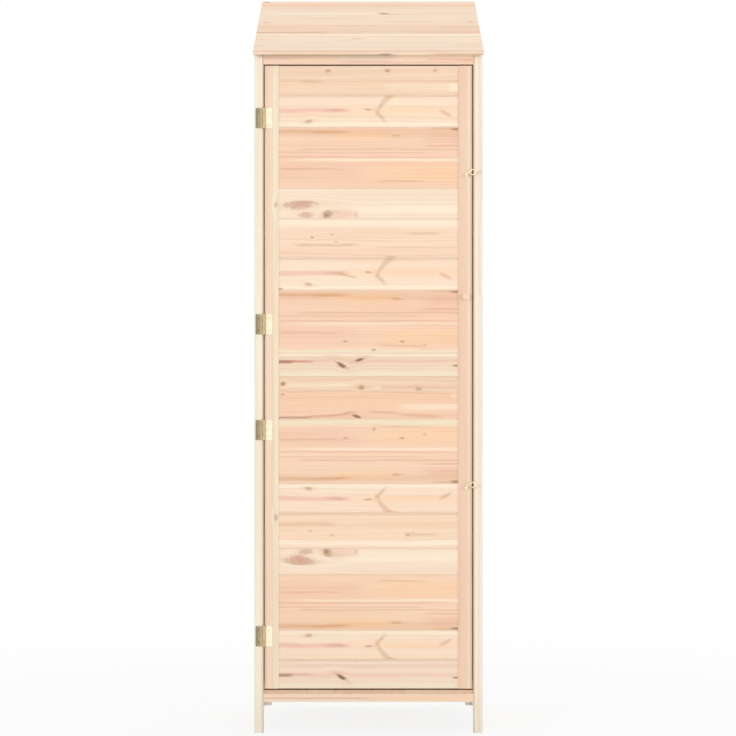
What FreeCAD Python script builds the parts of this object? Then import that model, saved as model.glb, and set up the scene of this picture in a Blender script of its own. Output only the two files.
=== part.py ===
import FreeCAD, Part

import math
import os

import Sketcher

# Slim wooden garden storage cabinet: four square posts in two lengths each, boarded sides
# and back, a sloping boarded roof, shelves, and one full-height boarded door on four butt
# hinges, held shut by two small hooks. The frame has X to the right, Y to the back and Z up,
# with its origin on the ground under the middle of the roof.

# Driving dimensions, in millimetres and degrees
SIZES = (
    ("body_width", 522, "across the outer faces of the posts"),
    ("body_depth", 524, "from the front to the back faces of the posts"),
    ("post_side", 21, "side of each square post"),
    ("lower_post_length", 1000, "ground to the joint between the two halves of a post"),
    ("arris", 0.8, "planed-off edge of posts, rails and battens"),
    ("groove_depth", 4.5, "groove in a post that holds the ends of the boards"),
    ("groove_side_gap", 0.2, "space between a board end and each side of its groove"),
    ("groove_end_gap", 0.5, "space between a board end and the bottom of its groove"),
    ("dowel_diameter", 8, "dowel that joins the two halves of a post"),
    ("dowel_length", 60, "half of it in each post"),
    ("dowel_inset", 8, "centre of a dowel from the outer faces of its post"),
    ("dowel_fit", 0.1, "space round a dowel"),
    ("foot_clearance", 71, "ground to the underside of the bottom rails"),
    ("bottom_rail_height", 19.5, "height of the front and rear bottom rails"),
    ("bottom_rail_depth", 36, "depth of the front bottom rail, which carries the floor"),
    ("top_rail_height", 26, "front face of the front top rail"),
    ("batten_side", 22, "side of the square battens under the shelves and the roof"),
    ("board_thickness", 10, "all boards of the sides, back, door and roof"),
    ("board_cover", 84, "nominal visible height of a side or back board"),
    ("board_gap", 0.3, "joint between neighbouring boards"),
    ("tongue_length", 4.5, "tongue along the top edge of a board"),
    ("tongue_thickness", 3.2, "thickness of that tongue"),
    ("tongue_gap", 0.3, "space round the tongue in its groove"),
    ("joint_bevel", 1.2, "bevel on the visible edges of a board"),
    ("roof_pitch", 18.9, "angle of the roof to the ground, in degrees"),
    ("roof_front_overhang", 24, "roof edge in front of the front posts"),
    ("roof_side_overhang", 2, "roof edge beyond the sides"),
    ("roof_rear_overhang", 2, "roof edge behind the rear posts"),
    ("floor_thickness", 7.5, "floor boards"),
    ("floor_front_inset", 3, "floor boards behind the front face of the bottom rail"),
    ("floor_board_cover", 80, "nominal width of a floor board"),
    ("door_thickness", 22, "stiles of the door"),
    ("stile_width", 32.5, "stiles of the door"),
    ("stile_groove_depth", 8, "groove in a stile that holds the ends of the door boards"),
    ("door_board_recess", 1.5, "door boards behind the front of the stiles"),
    ("door_side_gap", 2.5, "between the door and each front post"),
    ("door_bottom_gap", 11, "between the door and the bottom rail"),
    ("door_top_gap", 3, "between the door and the top rail"),
    ("door_stop_gap", 1, "behind the shut door"),
    ("door_batten_height", 45, "battens behind the door boards"),
    ("door_batten_inset", 30, "outer battens from the ends of the door"),
    ("narrow_course", 66.75, "door board"),
    ("even_course", 69, "door board"),
    ("standard_course", 74, "door board"),
    ("medium_course", 82, "door board"),
    ("large_course", 89.5, "door board"),
    ("broad_course", 128, "door board"),
    ("wide_course", 140, "door board"),
    ("wider_course", 144, "door board"),
    ("widest_course", 148, "door board"),
    ("short_course", 63.5, "door board"),
    ("slender_course", 59, "door board"),
    ("slim_course", 53.5, "door board"),
    ("strip_course", 33.5, "door board"),
    ("shelf_thickness", 10, "slats of the shelves"),
    ("slat_width", 78, "slats of the shelves"),
    ("slat_gap", 18, "nominal space between two slats"),
    ("shelf_end_gap", 11.5, "between a shelf and the shut door, and the same at the back"),
    ("shelf_side_gap", 0.5, "between a shelf or the floor and what is beside it"),
    ("leaf_width", 19, "hinge leaf from the pin to its outer edge"),
    ("leaf_height", 46, "hinge leaf"),
    ("leaf_thickness", 1.25, "sheet of a hinge leaf"),
    ("leaf_corner", 2, "rounded corners of a hinge leaf"),
    ("curl_end_angle", 20, "where the rolled knuckle ends, in degrees"),
    ("knuckle_gap", 0.3, "between neighbouring knuckles and round them"),
    ("pin_diameter", 3.2, "hinge pin"),
    ("pin_fit", 0.05, "space round the hinge pin"),
    ("pin_head_radius", 2.4, "rounded ends of the hinge pin"),
    ("pin_head_height", 1.4, "rounded ends of the hinge pin"),
    ("pin_head_bevel", 0.45, "bevel on those ends"),
    ("screw_hole_diameter", 3.4, "screw holes of the hinge leaves"),
    ("screw_sink_diameter", 6.2, "countersinks of those holes"),
    ("screw_hole_reach", 11.5, "screw holes from the pin"),
    ("screw_hole_pitch", 28, "between the two screw holes of a leaf"),
    ("outer_hinge_inset", 120, "outer hinges from the ends of the door"),
    ("inner_hinge_offset", 121, "inner hinges from the middle of the door"),
    ("wire_diameter", 2.6, "wire of the hooks and screw eyes"),
    ("pivot_ring_radius", 5.6, "middle of the wire in the ring that a hook hangs in"),
    ("catch_ring_radius", 4.6, "middle of the wire in the ring that takes the tip"),
    ("hook_loop_radius", 5.8, "middle of the wire in the loop of a hook"),
    ("hook_loop_sweep", 295, "how far that loop goes round, in degrees"),
    ("hook_slack", 0.3, "between a loop and the ring that it hangs in"),
    ("hook_arm_angle", 30, "slope of the arm of a hook, in degrees"),
    ("hook_bend_radius", 3, "bend at the tip of a hook"),
    ("hook_tip_length", 7, "straight end of the tip"),
    ("hook_tip_drop", 3, "tip bend to the middle of the catch ring"),
    ("hook_tip_offset", 0.9, "tip from the middle of the catch ring, towards the post"),
    ("hook_standoff", 7.2, "middle of the rings in front of the door"),
    ("eye_shank_depth", 12, "screw eye in the wood"),
    ("eye_shank_fit", 0.1, "space round a shank in its pilot hole"),
    ("pivot_inset", 1.7, "wire that a hook turns on, from the inner face of its post"),
    ("upper_eye_tilt", 25, "how far the upper pivot eye is turned up, in degrees"),
    ("lower_eye_tilt", -35, "how far the lower pivot eye is turned up, in degrees"),
    ("catch_eye_inset", 14.5, "catch eyes and knob from the outer edge of their stile"),
    ("upper_hook_drop", 244, "upper hook below the top of the door"),
    ("lower_hook_rise", 466.5, "lower hook above the bottom of the door"),
    ("knob_rise", 896.5, "knob above the bottom of the door"),
    ("knob_radius", 7.5, "ball of the knob"),
    ("knob_foot_radius", 5.5, "foot of the knob"),
    ("knob_foot_height", 1.5, "foot of the knob"),
    ("knob_neck_radius", 4, "neck of the knob"),
    ("knob_neck_length", 5.5, "door to the ball of the knob"),
    ("knob_neck_sweep", 6, "radius of the hollow of the neck"),
)

# Door boards from the bottom up, each by the size of its visible height
DOOR_COURSES = (
    "narrow", "narrow", "broad", "slender", "medium", "narrow", "widest", "short", "strip",
    "slim", "wider", "standard", "large", "even", "wide", "standard", "narrow",
)

# Pieces that come in a fixed number
ROOF_BOARDS = 6
KNUCKLES = 5
SHELVES = ("lower_shelf", "middle_shelf", "upper_shelf")

COUNTERSINK_ANGLE = 90
EDGE_TOLERANCE = 0.01

LEVEL = FreeCAD.Rotation()
ABOUT_X = FreeCAD.Vector(1, 0, 0)
ABOUT_Y = FreeCAD.Vector(0, 1, 0)
FACE_LEFT = FreeCAD.Rotation(FreeCAD.Vector(0, 0, 1), -90)
FACE_RIGHT = FreeCAD.Rotation(FreeCAD.Vector(0, 0, 1), 90)
FACE_BACK = FreeCAD.Rotation(FreeCAD.Vector(0, 0, 1), 180)
TURNED_OVER = FreeCAD.Rotation(FreeCAD.Vector(0, 1, 0), 180)
FACE_UP_ALONG_Y = FreeCAD.Rotation(
    FreeCAD.Vector(0, 1, 0), FreeCAD.Vector(0, 0, -1), FreeCAD.Vector(-1, 0, 0), "XYZ")

doc = FreeCAD.newDocument("garden_storage_cabinet")
sheet = doc.addObject("Spreadsheet::Sheet", "Sizes")
cuts = []
pieces = []


class Size:
    """A number together with the sheet formula that gives it."""

    def __init__(self, value, formula):
        self.value = float(value)
        self.formula = formula

    def __add__(self, other):
        other = as_size(other)
        return Size(self.value + other.value, "(%s + %s)" % (self.formula, other.formula))

    def __sub__(self, other):
        other = as_size(other)
        return Size(self.value - other.value, "(%s - %s)" % (self.formula, other.formula))

    def __mul__(self, other):
        other = as_size(other)
        return Size(self.value * other.value, "(%s * %s)" % (self.formula, other.formula))

    def __truediv__(self, other):
        other = as_size(other)
        return Size(self.value / other.value, "(%s / %s)" % (self.formula, other.formula))

    def __neg__(self):
        return Size(-self.value, "(-%s)" % self.formula)


def as_size(number):
    """A plain number as a Size."""
    return number if isinstance(number, Size) else Size(number, "%g" % number)


def sine(angle):
    return Size(math.sin(math.radians(angle.value)), "sin(%s * 1 deg)" % angle.formula)


def cosine(angle):
    return Size(math.cos(math.radians(angle.value)), "cos(%s * 1 deg)" % angle.formula)


def root(number):
    return Size(math.sqrt(number.value), "sqrt(%s)" % number.formula)


def total(sizes):
    """The sum of a list of sizes."""
    result = as_size(0)
    for size in sizes:
        result = result + size
    return result


def share_out(length, nominal):
    """Equal widths near the nominal one that fill a length, and how many there are."""
    count = max(1, round(length.value / nominal.value))
    return length / count, count


def fill_sheet():
    """Write every driving dimension in the sheet, under its own alias."""
    for row, (name, value, note) in enumerate(SIZES, 1):
        sheet.set("A%d" % row, name)
        sheet.set("B%d" % row, str(value))
        sheet.set("C%d" % row, note)
        sheet.setAlias("B%d" % row, name)
    doc.recompute()
    return {name: Size(sheet.get(name), "Sizes.%s" % name) for name, _, _ in SIZES}


def bind(thing, prop, size):
    """Tie a property to the sheet."""
    thing.setExpression(prop, as_size(size).formula)


def place(thing, x, y, z, turn=LEVEL):
    """Put a piece at a point tied to the sheet, with a fixed turn."""
    thing.Placement = FreeCAD.Placement(FreeCAD.Vector(), turn)
    bind(thing, "Placement.Base.x", x)
    bind(thing, "Placement.Base.y", y)
    bind(thing, "Placement.Base.z", z)
    return thing


def new_body(label):
    return doc.addObject("PartDesign::Body", label)


def new_sketch(body, plane, name, offset=0):
    """A sketch on one of the body's own origin planes, moved out along its normal."""
    sketch = body.newObject("Sketcher::SketchObject", name)
    support = [part for part in body.Origin.OriginFeatures if part.Role == plane][0]
    sketch.AttachmentSupport = (support, [""])
    sketch.MapMode = "FlatFace"
    bind(sketch, "AttachmentOffset.Base.z", offset)
    return sketch


def fix_point(sketch, edge, end, x, y):
    """Tie one end of an edge to its distances from the sketch origin."""
    for kind, size in (("DistanceX", as_size(x)), ("DistanceY", as_size(y))):
        index = sketch.addConstraint(Sketcher.Constraint(kind, -1, 1, edge, end, size.value))
        sketch.setExpression("Constraints[%d]" % index, size.formula)


def arc(centre, radius, clockwise=False):
    """How the next stretch of a trace bends."""
    return (as_size(centre[0]).value, as_size(centre[1]).value, radius, clockwise)


def trace(sketch, steps, closed=True):
    """Lines and arcs through tied points. Each step is (x, y) or (x, y, arc to the next)."""
    ends = [(as_size(step[0]), as_size(step[1])) for step in steps]
    bends = [step[2] if len(step) > 2 else None for step in steps]
    spans = len(steps) if closed else len(steps) - 1
    for index in range(spans):
        start = FreeCAD.Vector(ends[index][0].value, ends[index][1].value, 0)
        after = ends[(index + 1) % len(ends)]
        stop = FreeCAD.Vector(after[0].value, after[1].value, 0)
        if bends[index] is None:
            sketch.addGeometry(Part.LineSegment(start, stop), False)
            continue
        centre_x, centre_y, radius, clockwise = bends[index]
        centre = FreeCAD.Vector(centre_x, centre_y, 0)
        first, last = (stop, start) if clockwise else (start, stop)
        first_angle = math.atan2(first.y - centre.y, first.x - centre.x)
        last_angle = math.atan2(last.y - centre.y, last.x - centre.x)
        if last_angle <= first_angle:
            last_angle += 2 * math.pi
        circle = Part.Circle(centre, FreeCAD.Vector(0, 0, 1), radius.value)
        edge = sketch.addGeometry(Part.ArcOfCircle(circle, first_angle, last_angle), False)
        size = sketch.addConstraint(Sketcher.Constraint("Radius", edge, radius.value))
        bind(sketch, "Constraints[%d]" % size, radius)
    for index in range(spans):
        clockwise = bends[index] is not None and bends[index][3]
        near_end, far_end = (2, 1) if clockwise else (1, 2)
        fix_point(sketch, index, near_end, *ends[index])
        following = (index + 1) % len(ends)
        if following >= spans:
            fix_point(sketch, index, far_end, *ends[following])
            continue
        following_clockwise = bends[following] is not None and bends[following][3]
        following_end = 2 if following_clockwise else 1
        sketch.addConstraint(Sketcher.Constraint("Coincident", index, far_end, following, following_end))
    return sketch


def round_hole(sketch, x, y, radius):
    """A circle whose middle and radius are tied to the sheet."""
    middle = FreeCAD.Vector(as_size(x).value, as_size(y).value, 0)
    edge = sketch.addGeometry(Part.Circle(middle, FreeCAD.Vector(0, 0, 1), radius.value), False)
    fix_point(sketch, edge, 3, x, y)
    size = sketch.addConstraint(Sketcher.Constraint("Radius", edge, radius.value))
    bind(sketch, "Constraints[%d]" % size, radius)


def pad(body, sketch, length, both_ways=False):
    feature = body.newObject("PartDesign::Pad", "Pad")
    feature.Profile = sketch
    feature.SideType = "Symmetric" if both_ways else "One side"
    bind(feature, "Length", length)
    return feature


def pocket(body, sketch, depth=None, backwards=False):
    """Cut a sketch out of a body: right through both ways, or to a depth."""
    feature = body.newObject("PartDesign::Pocket", "Pocket")
    feature.Profile = sketch
    if depth is None:
        feature.SideType = "Symmetric"
        feature.Type = "ThroughAll"
    else:
        feature.Reversed = backwards
        bind(feature, "Length", depth)
    cuts.append((body, feature))
    return feature


def revolve(body, sketch):
    feature = body.newObject("PartDesign::Revolution", "Revolution")
    feature.Profile = sketch
    feature.ReferenceAxis = (sketch, ["V_Axis"])
    feature.Angle = 360
    return feature


def copy_of(source, name, x, y, z, turn=LEVEL):
    """One more of the same piece, somewhere else."""
    link = doc.addObject("App::Link", name)
    link.LinkedObject = source
    return place(link, x, y, z, turn)


def group(label, members):
    """Several separate solids that share one name."""
    compound = doc.addObject("Part::Compound", label)
    compound.Links = members
    return compound


def keep(thing):
    """List a finished piece of the cabinet."""
    pieces.append(thing)
    return thing


def bar_outline(sketch, depth, height):
    """Section of a planed bar: a rectangle with small bevels, depth along the first axis."""
    return trace(sketch, [
        (arris, 0), (depth - arris, 0), (depth, arris), (depth, height - arris),
        (depth - arris, height), (arris, height), (0, height - arris), (0, arris)])


def bar(label, length, depth, height):
    """Bar along X with its middle at zero, its front bottom edge on the X axis."""
    body = new_body(label)
    pad(body, bar_outline(new_sketch(body, "YZ_Plane", "Section"), depth, height), length, True)
    return body


def board(label, length, cover, has_groove, has_tongue):
    """Tongued and grooved board along X. Its visible face looks to the front."""
    thick = sizes["board_thickness"]
    bevel = sizes["joint_bevel"]
    half_tongue = sizes["tongue_thickness"] / 2
    half_groove = half_tongue + sizes["tongue_gap"]
    height = cover - sizes["board_gap"] if has_tongue else as_size(cover)
    steps = [(0, bevel), (bevel, 0)]
    if has_groove:
        groove_top = sizes["tongue_length"] + sizes["tongue_gap"] - sizes["board_gap"]
        steps += [
            (thick / 2 - half_groove, 0), (thick / 2 - half_groove, groove_top),
            (thick / 2 + half_groove, groove_top), (thick / 2 + half_groove, 0)]
    steps += [(thick, 0), (thick, height)]
    if has_tongue:
        tongue_top = height + sizes["tongue_length"]
        steps += [
            (thick / 2 + half_tongue, height), (thick / 2 + half_tongue, tongue_top),
            (thick / 2 - half_tongue, tongue_top), (thick / 2 - half_tongue, height)]
    steps += [(bevel, height), (0, height - bevel)]
    body = new_body(label)
    pad(body, trace(new_sketch(body, "YZ_Plane", "Section"), steps), length, True)
    return body


def boarding(label, turn, x, y, low, high, stock, length):
    """Boards stacked from one height to another, as links to three kinds of board."""
    cover, count = share_out(high - low, sizes["board_cover"])
    if not stock:
        stock.append(board(label + "_first", length, cover, False, count > 1))
        stock.append(board(label + "_middle", length, cover, True, True))
        stock.append(board(label + "_last", length, cover, True, False))
    members = []
    for index in range(count):
        kind = 0 if index == 0 else 2 if index == count - 1 else 1
        height = low + cover * index
        members.append(copy_of(stock[kind], "%s_%d" % (label, index + 1), x, y, height, turn))
    return members


def below_roof(label, members):
    """A group of boards sawn off along the underside of the roof."""
    sawn = doc.addObject("Part::Cut", label)
    sawn.Base = group(label + "_uncut", members)
    sawn.Tool = above_roof
    return sawn


def roof_underside(y):
    """Height of the underside of the roof at a distance from front to back."""
    return roof_at_front + (y - front) * roof_slope


def post_section(sketch, grooved_faces):
    """Square post section round the origin. Faces 0 to 3 look front, right, back and left."""
    half = sizes["post_side"] / 2
    half_groove = sizes["board_thickness"] / 2 + sizes["groove_side_gap"]
    steps = []
    for face in range(4):
        corners = [(arris - half, -half)]
        if face in grooved_faces:
            bottom = sizes["groove_depth"] - half
            corners += [
                (-half_groove, -half), (-half_groove, bottom),
                (half_groove, bottom), (half_groove, -half)]
        corners.append((half - arris, -half))
        for across, out in corners:
            turned = ((across, out), (-out, across), (-across, -out), (out, -across))
            steps.append(turned[face])
    return trace(sketch, steps)


def post(side, is_front, is_lower):
    """One half of a corner post, with its grooves and the bore for its dowel."""
    side_name = "left" if side < 0 else "right"
    end_name = "front" if is_front else "rear"
    half_name = "lower" if is_lower else "upper"
    body = new_body("%s_%s_post_%s" % (side_name, end_name, half_name))
    half = sizes["post_side"] / 2
    middle_y = front + half if is_front else back - half
    faces = (2,) if is_front else (0, 1 if side < 0 else 3)
    section = post_section(new_sketch(body, "XY_Plane", "Section"), faces)
    bore_x = as_size(0) if is_front else (half - sizes["dowel_inset"]) * side
    bore_y = (sizes["dowel_inset"] - half) * (1 if is_front else -1)
    bore_depth = (sizes["dowel_length"] + sizes["groove_end_gap"]) / 2
    if is_lower:
        pad(body, section, split)
        mouth = new_sketch(body, "XY_Plane", "DowelBore", split)
    else:
        reach = sizes["post_side"]
        rise = roof_underside(middle_y + reach) - split
        fall = roof_underside(middle_y - reach) - split
        pad(body, section, rise)
        saw_cut = new_sketch(body, "YZ_Plane", "RoofLine")
        pocket(body, trace(saw_cut, [
            (-reach, fall), (reach, rise), (reach, rise + reach), (-reach, rise + reach)]))
        mouth = new_sketch(body, "XY_Plane", "DowelBore")
    round_hole(mouth, bore_x, bore_y, sizes["dowel_diameter"] / 2 + sizes["dowel_fit"])
    pocket(body, mouth, bore_depth, not is_lower)
    middle_x = (half_body - half) * side
    if is_front and side > 0:
        latch = lower_latch if is_lower else upper_latch
        level = latch["eye_z"] if is_lower else latch["eye_z"] - split
        pilot_hole(body, latch["eye_x"] - middle_x, level, half)
    place(body, middle_x, middle_y, 0 if is_lower else split)
    dowels.append((middle_x + bore_x, middle_y + bore_y))
    return keep(body)


def pilot_hole(body, x, z, face_offset):
    """Blind hole from the front for the shank of a screw eye."""
    mouth = new_sketch(body, "XZ_Plane", "PilotHole", face_offset)
    round_hole(mouth, x, z, sizes["wire_diameter"] / 2 + sizes["eye_shank_fit"])
    pocket(body, mouth, sizes["eye_shank_depth"] + sizes["eye_shank_fit"])


def post_dowels():
    """The four dowels between the lower and the upper posts."""
    members = []
    for index, (x, y) in enumerate(dowels[::2], 1):
        dowel = doc.addObject("Part::Cylinder", "dowel_%d" % index)
        bind(dowel, "Radius", sizes["dowel_diameter"] / 2)
        bind(dowel, "Height", sizes["dowel_length"])
        members.append(place(dowel, x, y, split - sizes["dowel_length"] / 2))
    return keep(group("post_dowels", members))


def sides_and_back():
    """Boards between the posts, lower and upper, on three sides."""
    side_length = back - front - sizes["post_side"] * 2 + groove_hold * 2
    back_length = opening_width + groove_hold * 2
    side_top = roof_underside(back)
    stock = {"lower": [], "upper": []}
    for side, name, turn in ((-1, "left", FACE_LEFT), (1, "right", FACE_RIGHT)):
        face_x = (half_body - board_inset) * side
        middle_y = (front + back) / 2
        label = "%s_side_boards_" % name
        keep(group(label + "lower", boarding(
            name + "_low", turn, face_x, middle_y, foot, split, stock["lower"], side_length)))
        keep(below_roof(label + "upper", boarding(
            name + "_high", turn, face_x, middle_y, split, side_top, stock["upper"], side_length)))
    face_y = back - board_inset
    keep(group("back_boards_lower", boarding(
        "back_low", FACE_BACK, as_size(0), face_y, foot, split, [], back_length)))
    keep(below_roof("back_boards_upper", boarding(
        "back_high", FACE_BACK, as_size(0), face_y, split, roof_underside(face_y), [], back_length)))


def sloped_rail(label, y, depth, low):
    """Rail across the cabinet whose top follows the roof."""
    body = new_body(label)
    section = trace(new_sketch(body, "YZ_Plane", "Section"), [
        (0, 0), (depth, 0),
        (depth, roof_underside(y + depth) - low), (0, roof_underside(y) - low)])
    pad(body, section, opening_width, True)
    return keep(place(body, 0, y, low))


def rails():
    """Rails between the posts at the top and the bottom, front and rear."""
    sloped_rail("front_top_rail", front, sizes["post_side"], top_rail_bottom)
    rear_y = back_boards_front - sizes["batten_side"]
    sloped_rail("rear_top_rail", rear_y, sizes["batten_side"],
                roof_underside(rear_y) - sizes["batten_side"] * 2)
    front_rail = bar("front_bottom_rail", opening_width, sizes["bottom_rail_depth"],
                     sizes["bottom_rail_height"])
    keep(place(front_rail, 0, front, foot))
    rear_rail = bar("rear_bottom_rail", opening_width, sizes["batten_side"],
                    sizes["bottom_rail_height"])
    keep(place(rear_rail, 0, rear_y, foot))


def roof_rails():
    """Sloping battens inside the tops of the sides, which the roof boards are nailed to."""
    start = front + sizes["post_side"]
    stop = back_boards_front - sizes["batten_side"]
    members = []
    for side, name in ((-1, "left_roof_rail"), (1, "right_roof_rail")):
        body = new_body(name)
        drop = sizes["batten_side"]
        section = trace(new_sketch(body, "YZ_Plane", "Section"), [
            (start, roof_underside(start) - drop), (stop, roof_underside(stop) - drop),
            (stop, roof_underside(stop)), (start, roof_underside(start))])
        pad(body, section, sizes["batten_side"], True)
        members.append(place(body, (inner_side - sizes["batten_side"] / 2) * side, 0, 0))
    return keep(group("roof_rails", members))


def roof_boards():
    """Boards across the roof, from the front edge up to the rear edge."""
    thick = sizes["board_thickness"]
    pitch = sizes["roof_pitch"]
    cover = (roof_depth - thick * sine(pitch)) / cosine(pitch) / ROOF_BOARDS
    edge_y = -roof_depth / 2
    edge_z = roof_underside(edge_y + thick * sine(pitch)) + thick * cosine(pitch)
    for index in range(ROOF_BOARDS):
        label = "roof_board_%d" % (index + 1)
        body = board(label, roof_width, cover, index > 0, index < ROOF_BOARDS - 1)
        up = cover * index
        place(body, 0, edge_y + up * cosine(pitch), edge_z + up * sine(pitch),
              FreeCAD.Rotation(ABOUT_X, 1))
        bind(body, "Placement.Rotation.Angle", pitch - 90)
        keep(body)


def floor_boards():
    """Floor boards from front to back, resting on the two bottom rails."""
    width = opening_width - sizes["shelf_side_gap"] * 2
    cover, count = share_out(width, sizes["floor_board_cover"])
    start = front + sizes["floor_front_inset"]
    stop = back_boards_front - sizes["shelf_side_gap"]
    thick = sizes["floor_thickness"]
    members = []
    for index in range(count):
        body = new_body("floor_board_%d" % (index + 1))
        section = bar_outline(new_sketch(body, "XZ_Plane", "Section"),
                              cover - sizes["board_gap"], thick)
        pad(body, section, stop - start, True)
        left = cover * index - width / 2
        members.append(place(body, left, (start + stop) / 2, rail_top))
    return keep(group("floor_boards", members))


def shelves():
    """Slatted shelves, each on a pair of battens along the sides."""
    slat_width = sizes["slat_width"]
    slat = bar("shelf_slat", inner_side * 2 - sizes["shelf_side_gap"] * 2, slat_width,
               sizes["shelf_thickness"])
    batten_start = inside_front
    batten_length = back - sizes["post_side"] - batten_start
    batten = bar("shelf_batten", batten_length, sizes["batten_side"], sizes["batten_side"])
    start = inside_front + sizes["shelf_end_gap"]
    depth = back_boards_front - sizes["shelf_end_gap"] - start
    slats = share_out(depth + sizes["slat_gap"], slat_width + sizes["slat_gap"])[1]
    step = (depth - slat_width) / max(1, slats - 1)
    space = (top_rail_bottom - floor_top) / (len(SHELVES) + 1)
    battens = []
    for shelf, name in enumerate(SHELVES, 1):
        slat_level = floor_top + space * shelf - sizes["shelf_thickness"]
        members = []
        for index in range(slats):
            members.append(copy_of(slat, "%s_slat_%d" % (name, index + 1), as_size(0),
                                   start + step * index, slat_level))
        keep(group(name, members))
        for side_name, side, turn in (("left", -1, FACE_LEFT), ("right", 1, FACE_RIGHT)):
            battens.append(copy_of(batten, "%s_%s_batten" % (name, side_name),
                                   inner_side * side, batten_start + batten_length / 2,
                                   slat_level - sizes["batten_side"], turn))
    return keep(group("shelf_battens", battens))


def stile(side):
    """Door stile with the groove that holds the door boards."""
    body = new_body("door_%s_stile" % ("left" if side < 0 else "right"))
    width = sizes["stile_width"]
    thick = sizes["door_thickness"]
    groove_front = sizes["door_board_recess"] - sizes["groove_side_gap"]
    groove_back = sizes["door_board_recess"] + sizes["board_thickness"] + sizes["groove_side_gap"]
    bottom = width - sizes["stile_groove_depth"]
    steps = [
        (arris, 0), (width, 0), (width, groove_front), (bottom, groove_front),
        (bottom, groove_back), (width, groove_back), (width, thick), (arris, thick),
        (0, thick - arris), (0, arris)]
    inward = [(as_size(x) * -side, y) for x, y in steps]
    pad(body, trace(new_sketch(body, "XY_Plane", "Section"), inward), door_height)
    if side > 0:
        for latch in (upper_latch, lower_latch):
            pilot_hole(body, -sizes["catch_eye_inset"], latch["catch_z"] - door_bottom, as_size(0))
    return keep(place(body, half_door * side, front, door_bottom))


def door_boards():
    """The courses of the door, from the bottom up."""
    length = half_door * 2 - sizes["stile_width"] * 2
    length = length + (sizes["stile_groove_depth"] - sizes["groove_end_gap"]) * 2
    level = door_bottom
    last = len(DOOR_COURSES)
    for index, kind in enumerate(DOOR_COURSES, 1):
        cover = sizes[kind + "_course"]
        body = board("door_board_%02d" % index, length, cover, index > 1, index < last)
        keep(place(body, 0, front + sizes["door_board_recess"], level))
        level = level + cover


def door_battens():
    """Battens across the inside of the door, behind its boards."""
    boards_back = sizes["door_board_recess"] + sizes["board_thickness"]
    height = sizes["door_batten_height"]
    batten = bar("door_batten", half_door * 2 - sizes["stile_width"] * 2,
                 sizes["door_thickness"] - boards_back, height)
    inset = sizes["door_batten_inset"]
    levels = (door_bottom + inset, door_middle - height / 2, door_top - inset - height)
    members = []
    for index, level in enumerate(levels, 1):
        members.append(copy_of(batten, "door_batten_%d" % index, as_size(0),
                               front + boards_back, level))
    return keep(group("door_battens", members))


def hinge_leaf(label, own_knuckles):
    """Hinge leaf along X from the pin, with its knuckles rolled round the pin."""
    body = new_body(label)
    outer = knuckle_radius
    inner = outer - sizes["leaf_thickness"]
    reach = sizes["leaf_width"]
    height = sizes["leaf_height"]
    curl = sizes["curl_end_angle"]
    section = trace(new_sketch(body, "XY_Plane", "RolledSheet"), [
        (reach, outer), (0, outer, arc((0, 0), outer)),
        (outer * cosine(curl), outer * sine(curl)),
        (inner * cosine(curl), inner * sine(curl), arc((0, 0), inner, True)),
        (0, inner), (reach, inner)])
    pad(body, section, height)
    gap = sizes["knuckle_gap"]
    step = height / KNUCKLES
    room = outer + gap
    for index in range(KNUCKLES):
        if index in own_knuckles:
            continue
        low = step * index - gap / 2 if index > 0 else -gap
        high = step * (index + 1) + gap / 2 if index < KNUCKLES - 1 else height + gap
        notch = new_sketch(body, "XZ_Plane", "Notch")
        pocket(body, trace(notch, [(-room, low), (room, low), (room, high), (-room, high)]))
    holes = new_sketch(body, "XZ_Plane", "ScrewHoles", -inner)
    for side in (-1, 1):
        level = height / 2 + sizes["screw_hole_pitch"] / 2 * side
        round_hole(holes, sizes["screw_hole_reach"], level, sizes["screw_hole_diameter"] / 2)
    doc.recompute()
    drilled = body.newObject("PartDesign::Hole", "Countersunk")
    drilled.Profile = holes
    drilled.DepthType = "ThroughAll"
    drilled.HoleCutType = "Countersink"
    drilled.HoleCutCustomValues = True
    bind(drilled, "Diameter", sizes["screw_hole_diameter"])
    bind(drilled, "HoleCutDiameter", sizes["screw_sink_diameter"])
    drilled.HoleCutCountersinkAngle = COUNTERSINK_ANGLE
    cuts.append((body, drilled))
    doc.recompute()
    corners = []
    for index, edge in enumerate(body.Shape.Edges, 1):
        xs = [vertex.X for vertex in edge.Vertexes]
        zs = [vertex.Z for vertex in edge.Vertexes]
        at_edge = min(xs) > reach.value - EDGE_TOLERANCE
        if at_edge and max(zs) - min(zs) < EDGE_TOLERANCE:
            corners.append("Edge%d" % index)
    rounding = body.newObject("PartDesign::Fillet", "Corners")
    rounding.Base = (drilled, corners)
    bind(rounding, "Radius", sizes["leaf_corner"])
    return body


def hinge_pin(label):
    """Pin with a low round head at each end, along Z."""
    body = new_body(label)
    radius = sizes["pin_diameter"] / 2
    head = sizes["pin_head_radius"]
    tip = sizes["pin_head_height"]
    height = sizes["leaf_height"]
    gap = sizes["pin_fit"] * 2
    bevel = sizes["pin_head_bevel"]
    profile = trace(new_sketch(body, "XZ_Plane", "Profile"), [
        (0, -tip), (head - bevel, -tip), (head, bevel - tip), (head, -gap), (radius, -gap),
        (radius, height + gap), (head, height + gap), (head, height + tip - bevel),
        (head - bevel, height + tip), (0, height + tip)])
    revolve(body, profile)
    return body


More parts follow.
